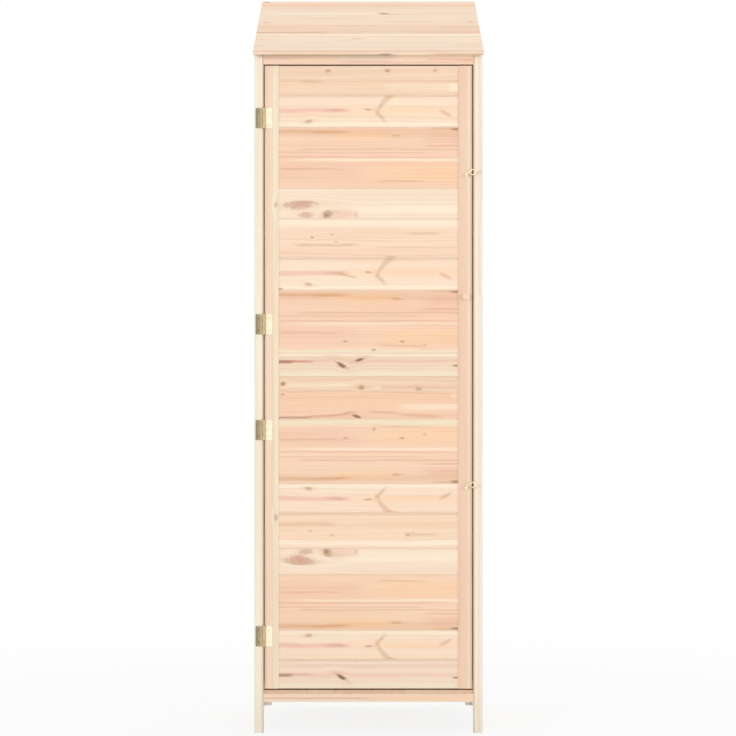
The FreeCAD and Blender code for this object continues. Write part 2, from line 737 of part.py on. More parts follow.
def hinges():
    """Four butt hinges across the left gap: post leaves, pins and door leaves."""
    post_leaf = hinge_leaf("post_leaf", (0, 2, 4))
    door_leaf = hinge_leaf("door_leaf", (1, 3))
    pin = hinge_pin("pin")
    middles = (
        door_bottom + sizes["outer_hinge_inset"], door_middle - sizes["inner_hinge_offset"],
        door_middle + sizes["inner_hinge_offset"], door_top - sizes["outer_hinge_inset"])
    leaves, pins, swinging = [], [], []
    for index, middle in enumerate(middles, 1):
        low = middle - sizes["leaf_height"] / 2
        high = middle + sizes["leaf_height"] / 2
        leaves.append(copy_of(post_leaf, "post_leaf_%d" % index, hinge_x, hinge_y, high, TURNED_OVER))
        pins.append(copy_of(pin, "pin_%d" % index, hinge_x, hinge_y, low))
        swinging.append(copy_of(door_leaf, "door_leaf_%d" % index, hinge_x, hinge_y, low))
    keep(group("hinge_post_leaves", leaves))
    keep(group("hinge_pins", pins))
    keep(group("hinge_door_leaves", swinging))


def screw_eye(label, ring_radius):
    """Ring round Z with its shank along Y, the ring's middle at the origin."""
    wire = sizes["wire_diameter"] / 2
    ring = doc.addObject("Part::Torus", label + "_ring")
    bind(ring, "Radius1", ring_radius)
    bind(ring, "Radius2", wire)
    shank = doc.addObject("Part::Cylinder", label + "_shank")
    bind(shank, "Radius", wire)
    bind(shank, "Height", sizes["hook_standoff"] + sizes["eye_shank_depth"] - ring_radius)
    place(shank, 0, ring_radius, 0, FreeCAD.Rotation(ABOUT_X, -90))
    eye = doc.addObject("Part::Fuse", label)
    eye.Base = ring
    eye.Tool = shank
    return eye


def latch_places(level, tilt):
    """Where one hook turns, and where its pivot eye and its catch eye are."""
    ring = sizes["pivot_ring_radius"]
    return {
        "level": level, "tilt": tilt,
        "eye_x": pivot_x + ring * cosine(tilt), "eye_z": level + ring * sine(tilt),
        "catch_z": level + bend_drop - sizes["hook_tip_drop"]}


def screw_eyes():
    """Rings that the hooks hang in, and rings that take their tips."""
    pivot_eye = screw_eye("pivot_eye", sizes["pivot_ring_radius"])
    catch_eye = screw_eye("catch_eye", sizes["catch_ring_radius"])
    hanging, catching = [], []
    for name, latch in (("upper", upper_latch), ("lower", lower_latch)):
        eye = copy_of(pivot_eye, name + "_pivot_eye", latch["eye_x"], hook_y, latch["eye_z"],
                      FreeCAD.Rotation(ABOUT_Y, 1))
        bind(eye, "Placement.Rotation.Angle", -latch["tilt"])
        hanging.append(eye)
        catching.append(copy_of(catch_eye, name + "_catch_eye", catch_x, hook_y,
                                latch["catch_z"]))
    keep(group("hook_pivot_eyes", hanging))
    keep(group("hook_catch_eyes", catching))


def hook(label):
    """Wire hook in one plane: loop, sloping arm and a tip bent down into the catch eye."""
    body = new_body(label)
    loop = sizes["hook_loop_radius"]
    bend = sizes["hook_bend_radius"]
    angle = sizes["hook_arm_angle"]
    lean = sine(angle)
    level = cosine(angle)
    tip_x = hook_tip_x - pivot_x
    bend_x = tip_x + bend
    loop_x = -loop_offset
    tip_z = bend_drop - sizes["hook_tip_length"]
    end = sizes["hook_loop_sweep"] - angle - 90
    spine = trace(new_sketch(body, "XZ_Plane", "Spine"), [
        (tip_x, tip_z), (tip_x, bend_drop, arc((bend_x, bend_drop), bend, True)),
        (bend_x + bend * lean, bend_drop + bend * level),
        (loop_x - loop * lean, -loop * level, arc((loop_x, 0), loop)),
        (loop_x + loop * cosine(end), loop * sine(end))], closed=False)
    wire = new_sketch(body, "XY_Plane", "Wire", tip_z)
    round_hole(wire, tip_x, 0, sizes["wire_diameter"] / 2)
    pipe = body.newObject("PartDesign::AdditivePipe", "Pipe")
    pipe.Profile = wire
    pipe.Spine = (spine, [])
    pipe.Transition = "Round corner"
    return body


def hooks():
    """The two hooks, each hanging in its own pivot eye."""
    for label, latch in (("upper_hook", upper_latch), ("lower_hook", lower_latch)):
        keep(place(hook(label), pivot_x, hook_y, latch["level"]))


def knob():
    """Turned knob on the right stile: foot, hollow neck and ball, round its own axis."""
    body = new_body("door_knob")
    foot_radius = sizes["knob_foot_radius"]
    foot_height = sizes["knob_foot_height"]
    neck = sizes["knob_neck_radius"]
    neck_end = sizes["knob_neck_length"]
    ball = sizes["knob_radius"]
    sweep = sizes["knob_neck_sweep"]
    ball_middle = neck_end + root(ball * ball - neck * neck)
    half_chord = root((foot_radius - neck) * (foot_radius - neck)
                      + (neck_end - foot_height) * (neck_end - foot_height)) / 2
    out = root(sweep * sweep - half_chord * half_chord)
    hollow_x = (foot_radius + neck) / 2 + out * (neck_end - foot_height) / (half_chord * 2)
    hollow_y = -(foot_height + neck_end) / 2 + out * (neck - foot_radius) / (half_chord * -2)
    profile = trace(new_sketch(body, "XY_Plane", "Profile"), [
        (0, 0), (foot_radius, 0), (foot_radius, -foot_height, arc((hollow_x, hollow_y), sweep)),
        (neck, -neck_end, arc((0, -ball_middle), ball, True)), (0, -ball_middle - ball)])
    revolve(body, profile)
    return keep(place(body, catch_x, front, door_bottom + sizes["knob_rise"]))


def check_pieces():
    """Stop on a failed object, an empty or invalid shape, or a cut that removed nothing."""
    for thing in doc.Objects:
        for state in ("Invalid", "Error"):
            if state in thing.State:
                raise RuntimeError("%s is %s" % (thing.Label, state))
    for body, feature in cuts:
        features = [part for part in body.Group if hasattr(part, "Shape")]
        solids = [part for part in features if not part.isDerivedFrom("Sketcher::SketchObject")]
        before = solids[solids.index(feature) - 1]
        if not feature.Shape.Volume < before.Shape.Volume:
            raise RuntimeError("%s cuts nothing from %s" % (feature.Label, body.Label))
    for piece in pieces:
        if piece.Shape.isNull() or not piece.Shape.isValid() or not piece.Shape.Solids:
            raise RuntimeError("%s has no valid solid" % piece.Label)


def write_pieces():
    """Write each piece to its own file."""
    os.makedirs("parts", exist_ok=True)
    for piece in pieces:
        piece.Shape.exportStep("parts/%s.step" % piece.Label)


sizes = fill_sheet()
arris = sizes["arris"]

# Widths and depths that follow from the driving dimensions
half_body = sizes["body_width"] / 2
opening_width = sizes["body_width"] - sizes["post_side"] * 2
half_door = opening_width / 2 - sizes["door_side_gap"]
roof_depth = sizes["body_depth"] + sizes["roof_front_overhang"] + sizes["roof_rear_overhang"]
roof_width = sizes["body_width"] + sizes["roof_side_overhang"] * 2
front = sizes["roof_front_overhang"] - roof_depth / 2
back = front + sizes["body_depth"]
board_inset = (sizes["post_side"] - sizes["board_thickness"]) / 2
groove_hold = sizes["groove_depth"] - sizes["groove_end_gap"]
inner_side = half_body - board_inset - sizes["board_thickness"]
back_boards_front = back - board_inset - sizes["board_thickness"]
inside_front = front + sizes["door_thickness"] + sizes["door_stop_gap"]

# Heights that follow from the driving dimensions
foot = sizes["foot_clearance"]
split = sizes["lower_post_length"]
rail_top = foot + sizes["bottom_rail_height"]
floor_top = rail_top + sizes["floor_thickness"]
door_bottom = rail_top + sizes["door_bottom_gap"]
door_height = total(sizes[kind + "_course"] for kind in DOOR_COURSES)
door_top = door_bottom + door_height
door_middle = (door_bottom + door_top) / 2
top_rail_bottom = door_top + sizes["door_top_gap"]
roof_at_front = top_rail_bottom + sizes["top_rail_height"]
roof_slope = sine(sizes["roof_pitch"]) / cosine(sizes["roof_pitch"])

# Hinge and hook axes
knuckle_radius = sizes["pin_diameter"] / 2 + sizes["pin_fit"] + sizes["leaf_thickness"]
hinge_x = -(half_door + sizes["door_side_gap"] / 2)
hinge_y = front - knuckle_radius
hook_y = front - sizes["hook_standoff"]
pivot_x = opening_width / 2 + sizes["pivot_inset"]
catch_x = half_door - sizes["catch_eye_inset"]
hook_tip_x = catch_x + sizes["hook_tip_offset"]
loop_offset = sizes["hook_loop_radius"] - sizes["wire_diameter"] - sizes["hook_slack"]
arm_run = pivot_x - loop_offset - hook_tip_x - sizes["hook_bend_radius"]
arm_offset = sizes["hook_loop_radius"] + sizes["hook_bend_radius"]
bend_drop = (arm_run * sine(sizes["hook_arm_angle"]) - arm_offset) / cosine(sizes["hook_arm_angle"])
upper_latch = latch_places(door_top - sizes["upper_hook_drop"], sizes["upper_eye_tilt"])
lower_latch = latch_places(door_bottom + sizes["lower_hook_rise"], sizes["lower_eye_tilt"])

# The space above the roof's underside, which saws off what reaches into it
above_roof = new_body("above_roof")
pad(above_roof, trace(new_sketch(above_roof, "YZ_Plane", "Section"), [
    (front - roof_width, roof_underside(front - roof_width)),
    (back + roof_width, roof_underside(back + roof_width)),
    (front - roof_width, roof_underside(back + roof_width))]), roof_width * 2, True)

dowels = []
for side in (-1, 1):
    for is_front in (True, False):
        for is_lower in (True, False):
            post(side, is_front, is_lower)
post_dowels()
sides_and_back()
rails()
roof_rails()
roof_boards()
floor_boards()
shelves()
stile(-1)
stile(1)
door_boards()
door_battens()
hinges()
screw_eyes()
hooks()
knob()

doc.recompute()
check_pieces()
write_pieces()
print("%d pieces written" % len(pieces))
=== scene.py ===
import math

import bmesh
import bpy
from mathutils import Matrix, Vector


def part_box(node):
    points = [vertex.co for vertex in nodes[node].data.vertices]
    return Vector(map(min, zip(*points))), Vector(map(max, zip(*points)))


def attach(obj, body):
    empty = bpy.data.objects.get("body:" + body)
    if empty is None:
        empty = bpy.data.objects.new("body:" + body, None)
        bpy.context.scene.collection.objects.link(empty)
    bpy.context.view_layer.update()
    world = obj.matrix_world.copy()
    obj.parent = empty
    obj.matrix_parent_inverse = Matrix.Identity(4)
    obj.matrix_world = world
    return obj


# Looks of a slim garden cabinet of planed softwood: wood with rings, streaks and knots, brass
# hinges and wire hooks, the screws in the hinges, camera, lamps and floor.
# Lengths are in metres. X goes to the right, Y to the back and Z up.

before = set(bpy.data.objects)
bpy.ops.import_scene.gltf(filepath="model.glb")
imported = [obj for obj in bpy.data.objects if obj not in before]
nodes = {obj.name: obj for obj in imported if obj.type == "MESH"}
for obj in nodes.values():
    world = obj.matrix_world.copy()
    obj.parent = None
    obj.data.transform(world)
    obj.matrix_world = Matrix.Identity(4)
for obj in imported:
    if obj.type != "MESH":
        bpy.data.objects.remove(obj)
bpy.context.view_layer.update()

MM = 0.001

# Camera, level and straight in front
CAMERA_PLACE = (-0.001, -6.401, 0.835)
CAMERA_LENS = 131.5
SENSOR_WIDTH = 36

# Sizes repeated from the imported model
TONGUE = 4.2 * MM
ROOF_PITCH = math.radians(18.9)
DOOR_BOARDS = ["door_board_%02d" % number for number in range(1, 18)]
ROOF_BOARDS = ["roof_board_%d" % number for number in range(1, 7)]
BETWEEN_STILES = (-205 * MM, 205 * MM)
BETWEEN_POSTS = (-240 * MM, 240 * MM)
COVER_LOWER = 929 * MM / 11
COVER_UPPER_SIDE = 81.65 * MM
COVER_UPPER_BACK = 81.45 * MM
COVER_FLOOR = 79.83 * MM
COVER_SHELF = 96.12 * MM
HINGE_AXIS = -238.75 * MM
HINGE_MIDDLES = [height * MM for height in (221.5, 693, 935, 1406.5)]
SCREW_OUT = 11.5 * MM
SCREW_UP = 14 * MM
LEAF_FACE = -252.25 * MM

# Directions of a board: along its grain, across its face, and into it
ACROSS_FRONT = (Vector((1, 0, 0)), Vector((0, 0, 1)), Vector((0, 1, 0)))
UPRIGHT = (Vector((0, 0, 1)), Vector((1, 0, 0)), Vector((0, 1, 0)))
ALONG_SIDE = (Vector((0, 1, 0)), Vector((0, 0, 1)), Vector((1, 0, 0)))
FLAT_ACROSS = (Vector((1, 0, 0)), Vector((0, 1, 0)), Vector((0, 0, -1)))
FLAT_TO_BACK = (Vector((0, 1, 0)), Vector((1, 0, 0)), Vector((0, 0, -1)))
UP_ROOF = Vector((0, math.cos(ROOF_PITCH), math.sin(ROOF_PITCH)))
INTO_ROOF = Vector((0, math.sin(ROOF_PITCH), -math.cos(ROOF_PITCH)))
ON_ROOF = (Vector((1, 0, 0)), UP_ROOF, INTO_ROOF)


def colour(code):
    """Linear colour with alpha from a six-digit code as seen on screen."""
    levels = [int(code[index:index + 2], 16) / 255 for index in (0, 2, 4)]
    return tuple(((level + 0.055) / 1.055) ** 2.4 if level > 0.04 else level / 12.92
                 for level in levels) + (1.0,)


# Tones of marks in the wood, some used as painted shade or painted light, and of the painted
# light on the bevels of the door boards
BEVEL_LIGHT = colour("FFEEDA")
CREAM = colour("FEF0D8")
GREENISH = colour("F3E8CC")
GREYISH = colour("EFECDF")
SHADED = colour("E0DECC")
STRAW = colour("FFE3AC")
PEACH = colour("FBD9BA")
APRICOT = colour("FBD3A8")
OCHRE = colour("D29A66")
PINK = colour("EEBFA8")
ROSE = colour("D79C86")
REDDISH = colour("B9755F")
TAN = colour("D3A983")
BROWN = colour("9F7459")
# Painted shade in the gaps beside the door
GAP_SHADE = colour("A68F70")
UMBER = colour("6B4330")


class Tree:
    """Short ways to add and join shader nodes."""

    def __init__(self, tree):
        self.tree = tree

    def feed(self, socket, value):
        if isinstance(value, bpy.types.NodeSocket):
            self.tree.links.new(value, socket)
        else:
            socket.default_value = value

    def node(self, kind, inputs=None, **settings):
        made = self.tree.nodes.new("ShaderNode" + kind)
        for name, value in settings.items():
            setattr(made, name, value)
        for name, value in (inputs or {}).items():
            self.feed(made.inputs[name], value)
        return made

    def group(self, group, inputs):
        return self.node("Group", inputs, node_tree=group).outputs

    def maths(self, operation, *values):
        made = self.node("Math", operation=operation)
        for socket, value in zip(made.inputs, values):
            self.feed(socket, value)
        return made.outputs[0]

    def add(self, first, second):
        return self.maths("ADD", first, second)

    def less(self, first, second):
        return self.maths("SUBTRACT", first, second)

    def times(self, first, second):
        return self.maths("MULTIPLY", first, second)

    def point(self, x, y, z):
        return self.node("CombineXYZ", {"X": x, "Y": y, "Z": z}).outputs[0]

    def dot(self, vector, direction):
        made = self.node("VectorMath", operation="DOT_PRODUCT")
        self.feed(made.inputs[0], vector)
        self.feed(made.inputs[1], tuple(direction))
        return made.outputs["Value"]

    def scaled(self, vector, factor):
        made = self.node("VectorMath", {"Scale": factor}, operation="SCALE")
        self.feed(made.inputs[0], vector)
        return made.outputs[0]

    def noise(self, vector, detail=2, roughness=0.5):
        """Smooth noise of size one, from 0 to 1."""
        made = self.node("TexNoise", {
            "Vector": vector, "Scale": 1.0, "Detail": detail, "Roughness": roughness})
        return made.outputs["Fac"]

    def flat_noise(self, along, across, per_metre, detail=2):
        """Noise over the face of a board, with its changes per metre along and across."""
        return self.noise(self.point(self.times(along, per_metre[0]),
                                     self.times(across, per_metre[1]), 0.0), detail)

    def scatter(self, number):
        """A random number from 0 to 1 for each number."""
        return self.node("TexWhiteNoise", {"W": number}, noise_dimensions="1D").outputs["Value"]

    def rise(self, value, low, high):
        """0 at low, 1 at high and a soft step between them."""
        made = self.node("MapRange", {
            "Value": value, "From Min": low, "From Max": high}, interpolation_type="SMOOTHSTEP")
        return made.outputs[0]

    def spread(self, share, low, high):
        """Low for a share of 0 and high for a share of 1."""
        return self.maths("MULTIPLY_ADD", share, high - low, low)

    def between(self, value, low, high, softness):
        """1 between low and high, with soft ends."""
        return self.times(self.rise(value, low - softness, low + softness),
                          self.rise(value, high + softness, high - softness))

    def blend(self, amount, first, second, mode="MIX"):
        made = self.node("Mix", data_type="RGBA", blend_type=mode)
        self.feed(made.inputs[0], amount)
        self.feed(made.inputs[6], first)
        self.feed(made.inputs[7], second)
        return made.outputs[2]


FLOAT = "NodeSocketFloat"
COLOUR = "NodeSocketColor"

# Noises of the grain: changes per metre along and across the board, detail and roughness
DRIFT_NOISE = (1.6, 3.0, 1, 0.5)
RIPPLE_NOISE = (9, 60, 2, 0.5)
BAND_NOISE = (1.8, 55, 3, 0.6)
FIBRE_NOISE = (22, 1400, 3, 0.65)
FLECK_NOISE = (110, 3000, 1, 0.5)
PINKER_NOISE = (2.4, 15, 2, 0.5)

# Noises of knots and streaks: changes per metre along and across the board
KNOT_WOBBLE = (95.0, 270.0)
STREAK_WAVE = (9.0, 300.0)
STREAK_THREAD = (16.0, 500.0)

# Grain: how far rings wander, where in a ring its dark wood starts and ends, and strengths
SEED_STEP = 37.0
DRIFT = 30 * MM
RIPPLE = 3.5 * MM
LATE_START = 0.3
LATE_FULL = 0.9
LATE_END = 0.93
FAINTEST_RING = 0.2
RING_STRENGTH = 0.75
BAND_STRENGTH = 1.5
FLECK_START = 0.66
FLECK_FULL = 0.8
FLECK_STRENGTH = 0.25
FIBRE_CONTRAST = 0.10
PINKER = (1.0, 0.955, 0.925, 1.0)
PINKER_START = 0.42
PINKER_FULL = 0.72
PINKER_STRENGTH = 0.7
RING_RELIEF = -0.5

# Knots, with distances as shares of their half length and half height
WOBBLE = 0.8
KNOT_RING_ANGLE = 19.0
KNOT_RING_CONTRAST = 0.12
HEART_EDGE = 1.15
HEART_FULL = 0.35
RIM_START = 0.72
RIM_END = 0.86
RIM_SOFTNESS = 0.22
FLOW_FALL = -0.16
FLOW_STRENGTH = -0.8
STAIN_LENGTH = 0.36
STAIN_HEIGHT = 0.8
STAIN_FULL = 0.15

# How strong the stain and the rim of a knot are beside its heart
KNOT_STAIN = 0.4
KNOT_RIM = 0.4

# Streaks: where their edge ends and starts in half heights, and how thready they are
STREAK_EDGE = 1.5
STREAK_FULL = 0.3
THREAD_CONTRAST = 1.3
THREAD_LEAST = 0.35


def new_group(name, numbers, colours, gives):
    """Empty node group with its sockets named."""
    group = bpy.data.node_groups.new(name, "ShaderNodeTree")
    for kind, labels in ((FLOAT, numbers), (COLOUR, colours)):
        for label in labels:
            group.interface.new_socket(label, in_out="INPUT", socket_type=kind)
    for label, kind in gives:
        group.interface.new_socket(label, in_out="OUTPUT", socket_type=kind)
    source = group.nodes.new("NodeGroupInput").outputs
    target = group.nodes.new("NodeGroupOutput").inputs
    return group, Tree(group), source, target


def softwood_group():
    """Year rings, broad bands and fibres of a board sawn from a log."""
    group, tree, source, target = new_group(
        "Softwood", ("Along", "Across", "Depth", "Seed", "Ring", "Pith Across", "Pith Depth",
                     "Contrast"), ("Tone", "Late"), (("Colour", COLOUR), ("Grain", FLOAT)))
    seed = tree.times(source["Seed"], SEED_STEP)
    along = tree.add(source["Along"], seed)
    across = source["Across"]
    depth = source["Depth"]

    def stretched(per_metre_along, per_metre_across, detail, roughness):
        vector = tree.point(
            tree.times(along, per_metre_along),
            tree.maths("MULTIPLY_ADD", across, per_metre_across, seed),
            tree.times(depth, per_metre_across))
        return tree.noise(vector, detail, roughness)

    drift = tree.times(tree.less(stretched(*DRIFT_NOISE), 0.5), DRIFT)
    ripple = tree.times(tree.less(stretched(*RIPPLE_NOISE), 0.5), RIPPLE)
    sideways = tree.add(tree.add(tree.less(across, source["Pith Across"]), drift), ripple)
    inward = tree.less(depth, source["Pith Depth"])
    radius = tree.maths("SQRT", tree.add(tree.maths("POWER", sideways, 2.0),
                                         tree.maths("POWER", inward, 2.0)))
    phase = tree.maths("DIVIDE", radius, source["Ring"])
    share = tree.maths("FRACT", phase)
    strength = tree.scatter(tree.add(tree.maths("FLOOR", phase), seed))
    late = tree.times(tree.rise(share, LATE_START, LATE_FULL), tree.rise(share, 1.0, LATE_END))
    late = tree.times(late, tree.spread(strength, FAINTEST_RING, 1.0))

    bands = tree.less(stretched(*BAND_NOISE), 0.5)
    fibre = stretched(*FIBRE_NOISE)
    flecks = tree.rise(stretched(*FLECK_NOISE), FLECK_START, FLECK_FULL)
    darkness = tree.maths("MULTIPLY_ADD", bands, BAND_STRENGTH, tree.times(late, RING_STRENGTH))
    darkness = tree.times(darkness, source["Contrast"])
    darkness = tree.add(darkness, tree.times(flecks, FLECK_STRENGTH))
    darkness = tree.maths("MINIMUM", tree.maths("MAXIMUM", darkness, 0.0), 1.0)
    made = tree.blend(darkness, source["Tone"], source["Late"], "MULTIPLY")
    pinker = tree.rise(stretched(*PINKER_NOISE), PINKER_START, PINKER_FULL)
    made = tree.blend(tree.times(pinker, PINKER_STRENGTH), made, PINKER, "MULTIPLY")
    brightness = tree.maths("MULTIPLY_ADD", fibre, FIBRE_CONTRAST, 1 - FIBRE_CONTRAST / 2)
    tree.feed(target["Colour"], tree.scaled(made, brightness))
    tree.feed(target["Grain"], tree.maths("MULTIPLY_ADD", late, RING_RELIEF, fibre))
    return group


def knot_group():
    """One knot: how the grain flows round it, its heart, dark rim and the stain along it."""
    group, tree, source, target = new_group(
        "Knot", ("Along", "Across", "Middle Along", "Middle Across", "Half Length",
                 "Half Height", "Cosine", "Sine"), (),
        (("Across", FLOAT), ("Heart", FLOAT), ("Rim", FLOAT), ("Stain", FLOAT)))
    along = tree.less(source["Along"], source["Middle Along"])
    across = tree.less(source["Across"], source["Middle Across"])
    wobble = tree.flat_noise(source["Along"], source["Across"], KNOT_WOBBLE, 1)
    forward = tree.maths("DIVIDE", tree.add(tree.times(along, source["Cosine"]),
                                            tree.times(across, source["Sine"])),
                         source["Half Length"])
    aside = tree.maths("DIVIDE", tree.less(tree.times(across, source["Cosine"]),
                                           tree.times(along, source["Sine"])),
                       source["Half Height"])
    square = tree.add(tree.maths("POWER", forward, 2.0), tree.maths("POWER", aside, 2.0))
    reach = tree.add(tree.maths("SQRT", square),
                     tree.maths("MULTIPLY_ADD", wobble, WOBBLE, -WOBBLE / 2))
    rings = tree.maths("SINE", tree.times(reach, KNOT_RING_ANGLE))
    flow = tree.maths("EXPONENT", tree.times(square, FLOW_FALL))
    bowed = tree.times(across, tree.maths("MULTIPLY_ADD", flow, FLOW_STRENGTH, 1.0))
    long_square = tree.add(tree.maths("POWER", tree.times(forward, STAIN_LENGTH), 2.0),
                           tree.maths("POWER", tree.times(aside, STAIN_HEIGHT), 2.0))
    stain = tree.rise(tree.maths("SQRT", long_square), 1.0, STAIN_FULL)
    ringed = tree.maths("MULTIPLY_ADD", rings, KNOT_RING_CONTRAST, 1 - KNOT_RING_CONTRAST)
    tree.feed(target["Across"], tree.add(bowed, source["Middle Across"]))
    tree.feed(target["Heart"], tree.times(tree.rise(reach, HEART_EDGE, HEART_FULL), ringed))
    tree.feed(target["Rim"], tree.between(reach, RIM_START, RIM_END, RIM_SOFTNESS))
    tree.feed(target["Stain"], stain)
    return group


def streak_group():
    """One streak along the grain, straight, sloping or bent, with soft, slightly wavy edges."""
    group, tree, source, target = new_group(
        "Streak", ("Along", "Across", "Start", "Stop", "Level", "Half Height", "Slope", "Bend",
                   "Fade", "Wave"), (), (("Amount", FLOAT),))
    wave = tree.flat_noise(source["Along"], source["Level"], STREAK_WAVE)
    thread = tree.flat_noise(source["Along"], source["Across"], STREAK_THREAD)
    gone = tree.less(source["Along"], source["Start"])
    level = tree.maths("MULTIPLY_ADD", tree.less(wave, 0.5), source["Wave"], source["Level"])
    level = tree.maths("MULTIPLY_ADD", gone, source["Slope"], level)
    level = tree.maths("MULTIPLY_ADD", tree.times(gone, gone), source["Bend"], level)
    away = tree.maths("ABSOLUTE", tree.less(source["Across"], level))
    body = tree.rise(tree.maths("DIVIDE", away, source["Half Height"]), STREAK_EDGE, STREAK_FULL)
    before = tree.times(source["Fade"], -1.0)
    first_end = tree.rise(gone, before, source["Fade"])
    last_end = tree.rise(tree.less(source["Stop"], source["Along"]), before, source["Fade"])
    amount = tree.times(tree.times(body, tree.times(first_end, last_end)),
                        tree.maths("MULTIPLY_ADD", thread, THREAD_CONTRAST, THREAD_LEAST))
    tree.feed(target["Amount"], tree.maths("MINIMUM", amount, 1.0))
    return group


SOFTWOOD = softwood_group()
KNOT = knot_group()
STREAK = streak_group()


class Streak:
    """A streak, vein or patch along the grain. Start, stop and up go from 0 to 1 over the
    board, half is its half height, which is in millimetres like fade and wave, slope is its
    rise over its run, bend is in 1 over metres, and on_edge puts it on the board's edge."""

    def __init__(self, start, stop, up, half, tone, amount=0.6, slope=0.0, bend=0.0, fade=20.0,
                 wave=5.0, on_edge=False):
        self.start, self.stop, self.up, self.half = start, stop, up, half
        self.tone, self.amount, self.slope, self.bend = tone, amount, slope, bend
        self.fade, self.wave, self.on_edge = fade, wave, on_edge

    def turned(self):
        return Streak(self.start, self.stop, 1 - self.up, self.half, self.tone, self.amount,
                      -self.slope, -self.bend, self.fade, self.wave, self.on_edge)

    def paint(self, tree, shade, place, size):
        level_of = place["depth"] if self.on_edge else place["flowing"]
        height = size[2] if self.on_edge else size[1]
        steep = math.hypot(1, self.slope)
        amount = tree.group(STREAK, {
            "Along": place["along"], "Across": level_of, "Start": self.start * size[0],
            "Stop": self.stop * size[0], "Level": self.up * height,
            "Half Height": self.half * steep * MM, "Slope": self.slope, "Bend": self.bend,
            "Fade": self.fade * MM, "Wave": self.wave * MM})["Amount"]
        return tree.blend(tree.times(amount, self.amount), shade, self.tone)


class Knot:
    """A knot. Along and up go from 0 to 1 over the board, length and height are half its
    length and half its height in millimetres, tilt is in degrees, and amount, stain and rim
    say how strong its heart, the stain along it and its dark rim are."""

    def __init__(self, along, up, length, height, tone=BROWN, amount=0.7, tilt=0,
                 stain=KNOT_STAIN, rim=KNOT_RIM):
        self.along, self.up, self.length, self.height = along, up, length, height
        self.tone, self.amount, self.tilt, self.stain, self.rim = tone, amount, tilt, stain, rim

    def turned(self):
        return Knot(self.along, 1 - self.up, self.length, self.height, self.tone, self.amount,
                    -self.tilt, self.stain, self.rim)

    def grow(self, tree, along, across, size):
        tilt = math.radians(self.tilt)
        return tree.group(KNOT, {
            "Along": along, "Across": across, "Middle Along": self.along * size[0],
            "Middle Across": self.up * size[1], "Half Length": self.length * MM,
            "Half Height": self.height * MM, "Cosine": math.cos(tilt),
            "Sine": math.sin(tilt)})


class Wood:
    """What one kind of board looks like: the tones of its early and late wood, the width of a
    ring in millimetres, the log's pith as a share of the board's height and millimetres behind
    its face, its marks, another tone that some of its boards take, whether it has knots at
    random places, how much painted shade darkens the edges at its joints and how rough it is."""

    def __init__(self, early, late, ring=3.2, contrast=0.7, pith=(0.4, 45), marks=(), other=None,
                 knotty=False, edge=0.16, roughness=0.62):
        self.early = colour(early)
        self.late = tuple(dark / pale for dark, pale in zip(colour(late), self.early))
        self.ring = ring * MM
        self.contrast = contrast
        self.pith = pith
        self.marks = marks
        self.other = other
        self.knotty = knotty
        self.edge = edge
        self.roughness = roughness


# Knots at random places: one in each length of board, and how large and dark they are
KNOT_SPACING = 310 * MM
KNOT_LENGTHS = (2 * MM, 8 * MM)
KNOT_HEIGHTS = (1.6 * MM, 5.6 * MM)
KNOT_AMOUNTS = (0.3, 0.8)
KNOT_PLACES_ALONG = (0.2, 0.8)
KNOT_PLACES_ACROSS = (0.15, 0.85)
KNOT_SEEDS = (0.11, 0.47, 0.83)
CELL_STEP = 7.31
BOARD_STEP = 3.17


def random_knot(tree, along, across, number, height):
    """One knot in each length of board, at a random place."""
    cell = tree.maths("FLOOR", tree.maths("DIVIDE", along, KNOT_SPACING))
    mixed = tree.maths("MULTIPLY_ADD", cell, CELL_STEP, tree.times(number, BOARD_STEP))
    first, second, third = [tree.scatter(tree.add(mixed, shift)) for shift in KNOT_SEEDS]
    middle = tree.times(tree.add(cell, tree.spread(first, *KNOT_PLACES_ALONG)), KNOT_SPACING)
    level = tree.times(tree.spread(second, *KNOT_PLACES_ACROSS), height)
    outputs = tree.group(KNOT, {
        "Along": along, "Across": across, "Middle Along": middle, "Middle Across": level,
        "Half Length": tree.spread(third, *KNOT_LENGTHS),
        "Half Height": tree.spread(third, *KNOT_HEIGHTS),
        "Cosine": 1.0, "Sine": 0.0})
    return outputs, tree.spread(second, *KNOT_AMOUNTS)


def grow_knots(tree, wood, along, across, number, size):
    """The knots of a board, and the distance across it that follows the grain round them."""
    knots = []
    for mark in wood.marks:
        if isinstance(mark, Knot):
            outputs = mark.grow(tree, along, across, size)
            across = outputs["Across"]
            knots.append((outputs, mark.tone, mark.amount, mark.stain, mark.rim))
    if wood.knotty:
        outputs, amount = random_knot(tree, along, across, number, size[1])
        across = outputs["Across"]
        knots.append((outputs, BROWN, amount, KNOT_STAIN, KNOT_RIM))
    return knots, across


def paint_knot(tree, shade, outputs, tone, amount, stain, rim):
    """The stain of a knot, its heart and its rim over the shade of the wood."""
    shade = tree.blend(tree.times(outputs["Stain"], tree.times(amount, stain)), shade, TAN)
    shade = tree.blend(tree.times(outputs["Heart"], amount), shade, tone)
    return tree.blend(tree.times(outputs["Rim"], tree.times(amount, rim)), shade, UMBER)


# Surface of the wood: painted shade at the joints and painted light on the bevels, by the
# distance from a board's edge, end grain and gloss
JOINT_SHADE_START = 6 * MM
JOINT_SHADE_FULL = 0.5 * MM
JOINT_SHADE_PER_METRE = 14.0
JOINT_SHADE_CONTRAST = 1.4
JOINT_SHADE_LEAST = -0.1
BEVEL_START = 1.9 * MM
BEVEL_FULL = 0.9 * MM
END_GRAIN_START = 0.7
END_GRAIN_FULL = 0.95
END_GRAIN_TAN = 0.35
OTHER_TONE = (0.3, 0.9)
COVER_STEP = 1.7
PITH_SEED = 0.5
TONE_SEED = 0.21
FIBRE_GLOSS = -0.12
MORE_ROUGHNESS = 0.05
WOOD_SPECULAR = 0.35
RELIEF = {"Strength": 0.35, "Distance": 0.25 * MM}


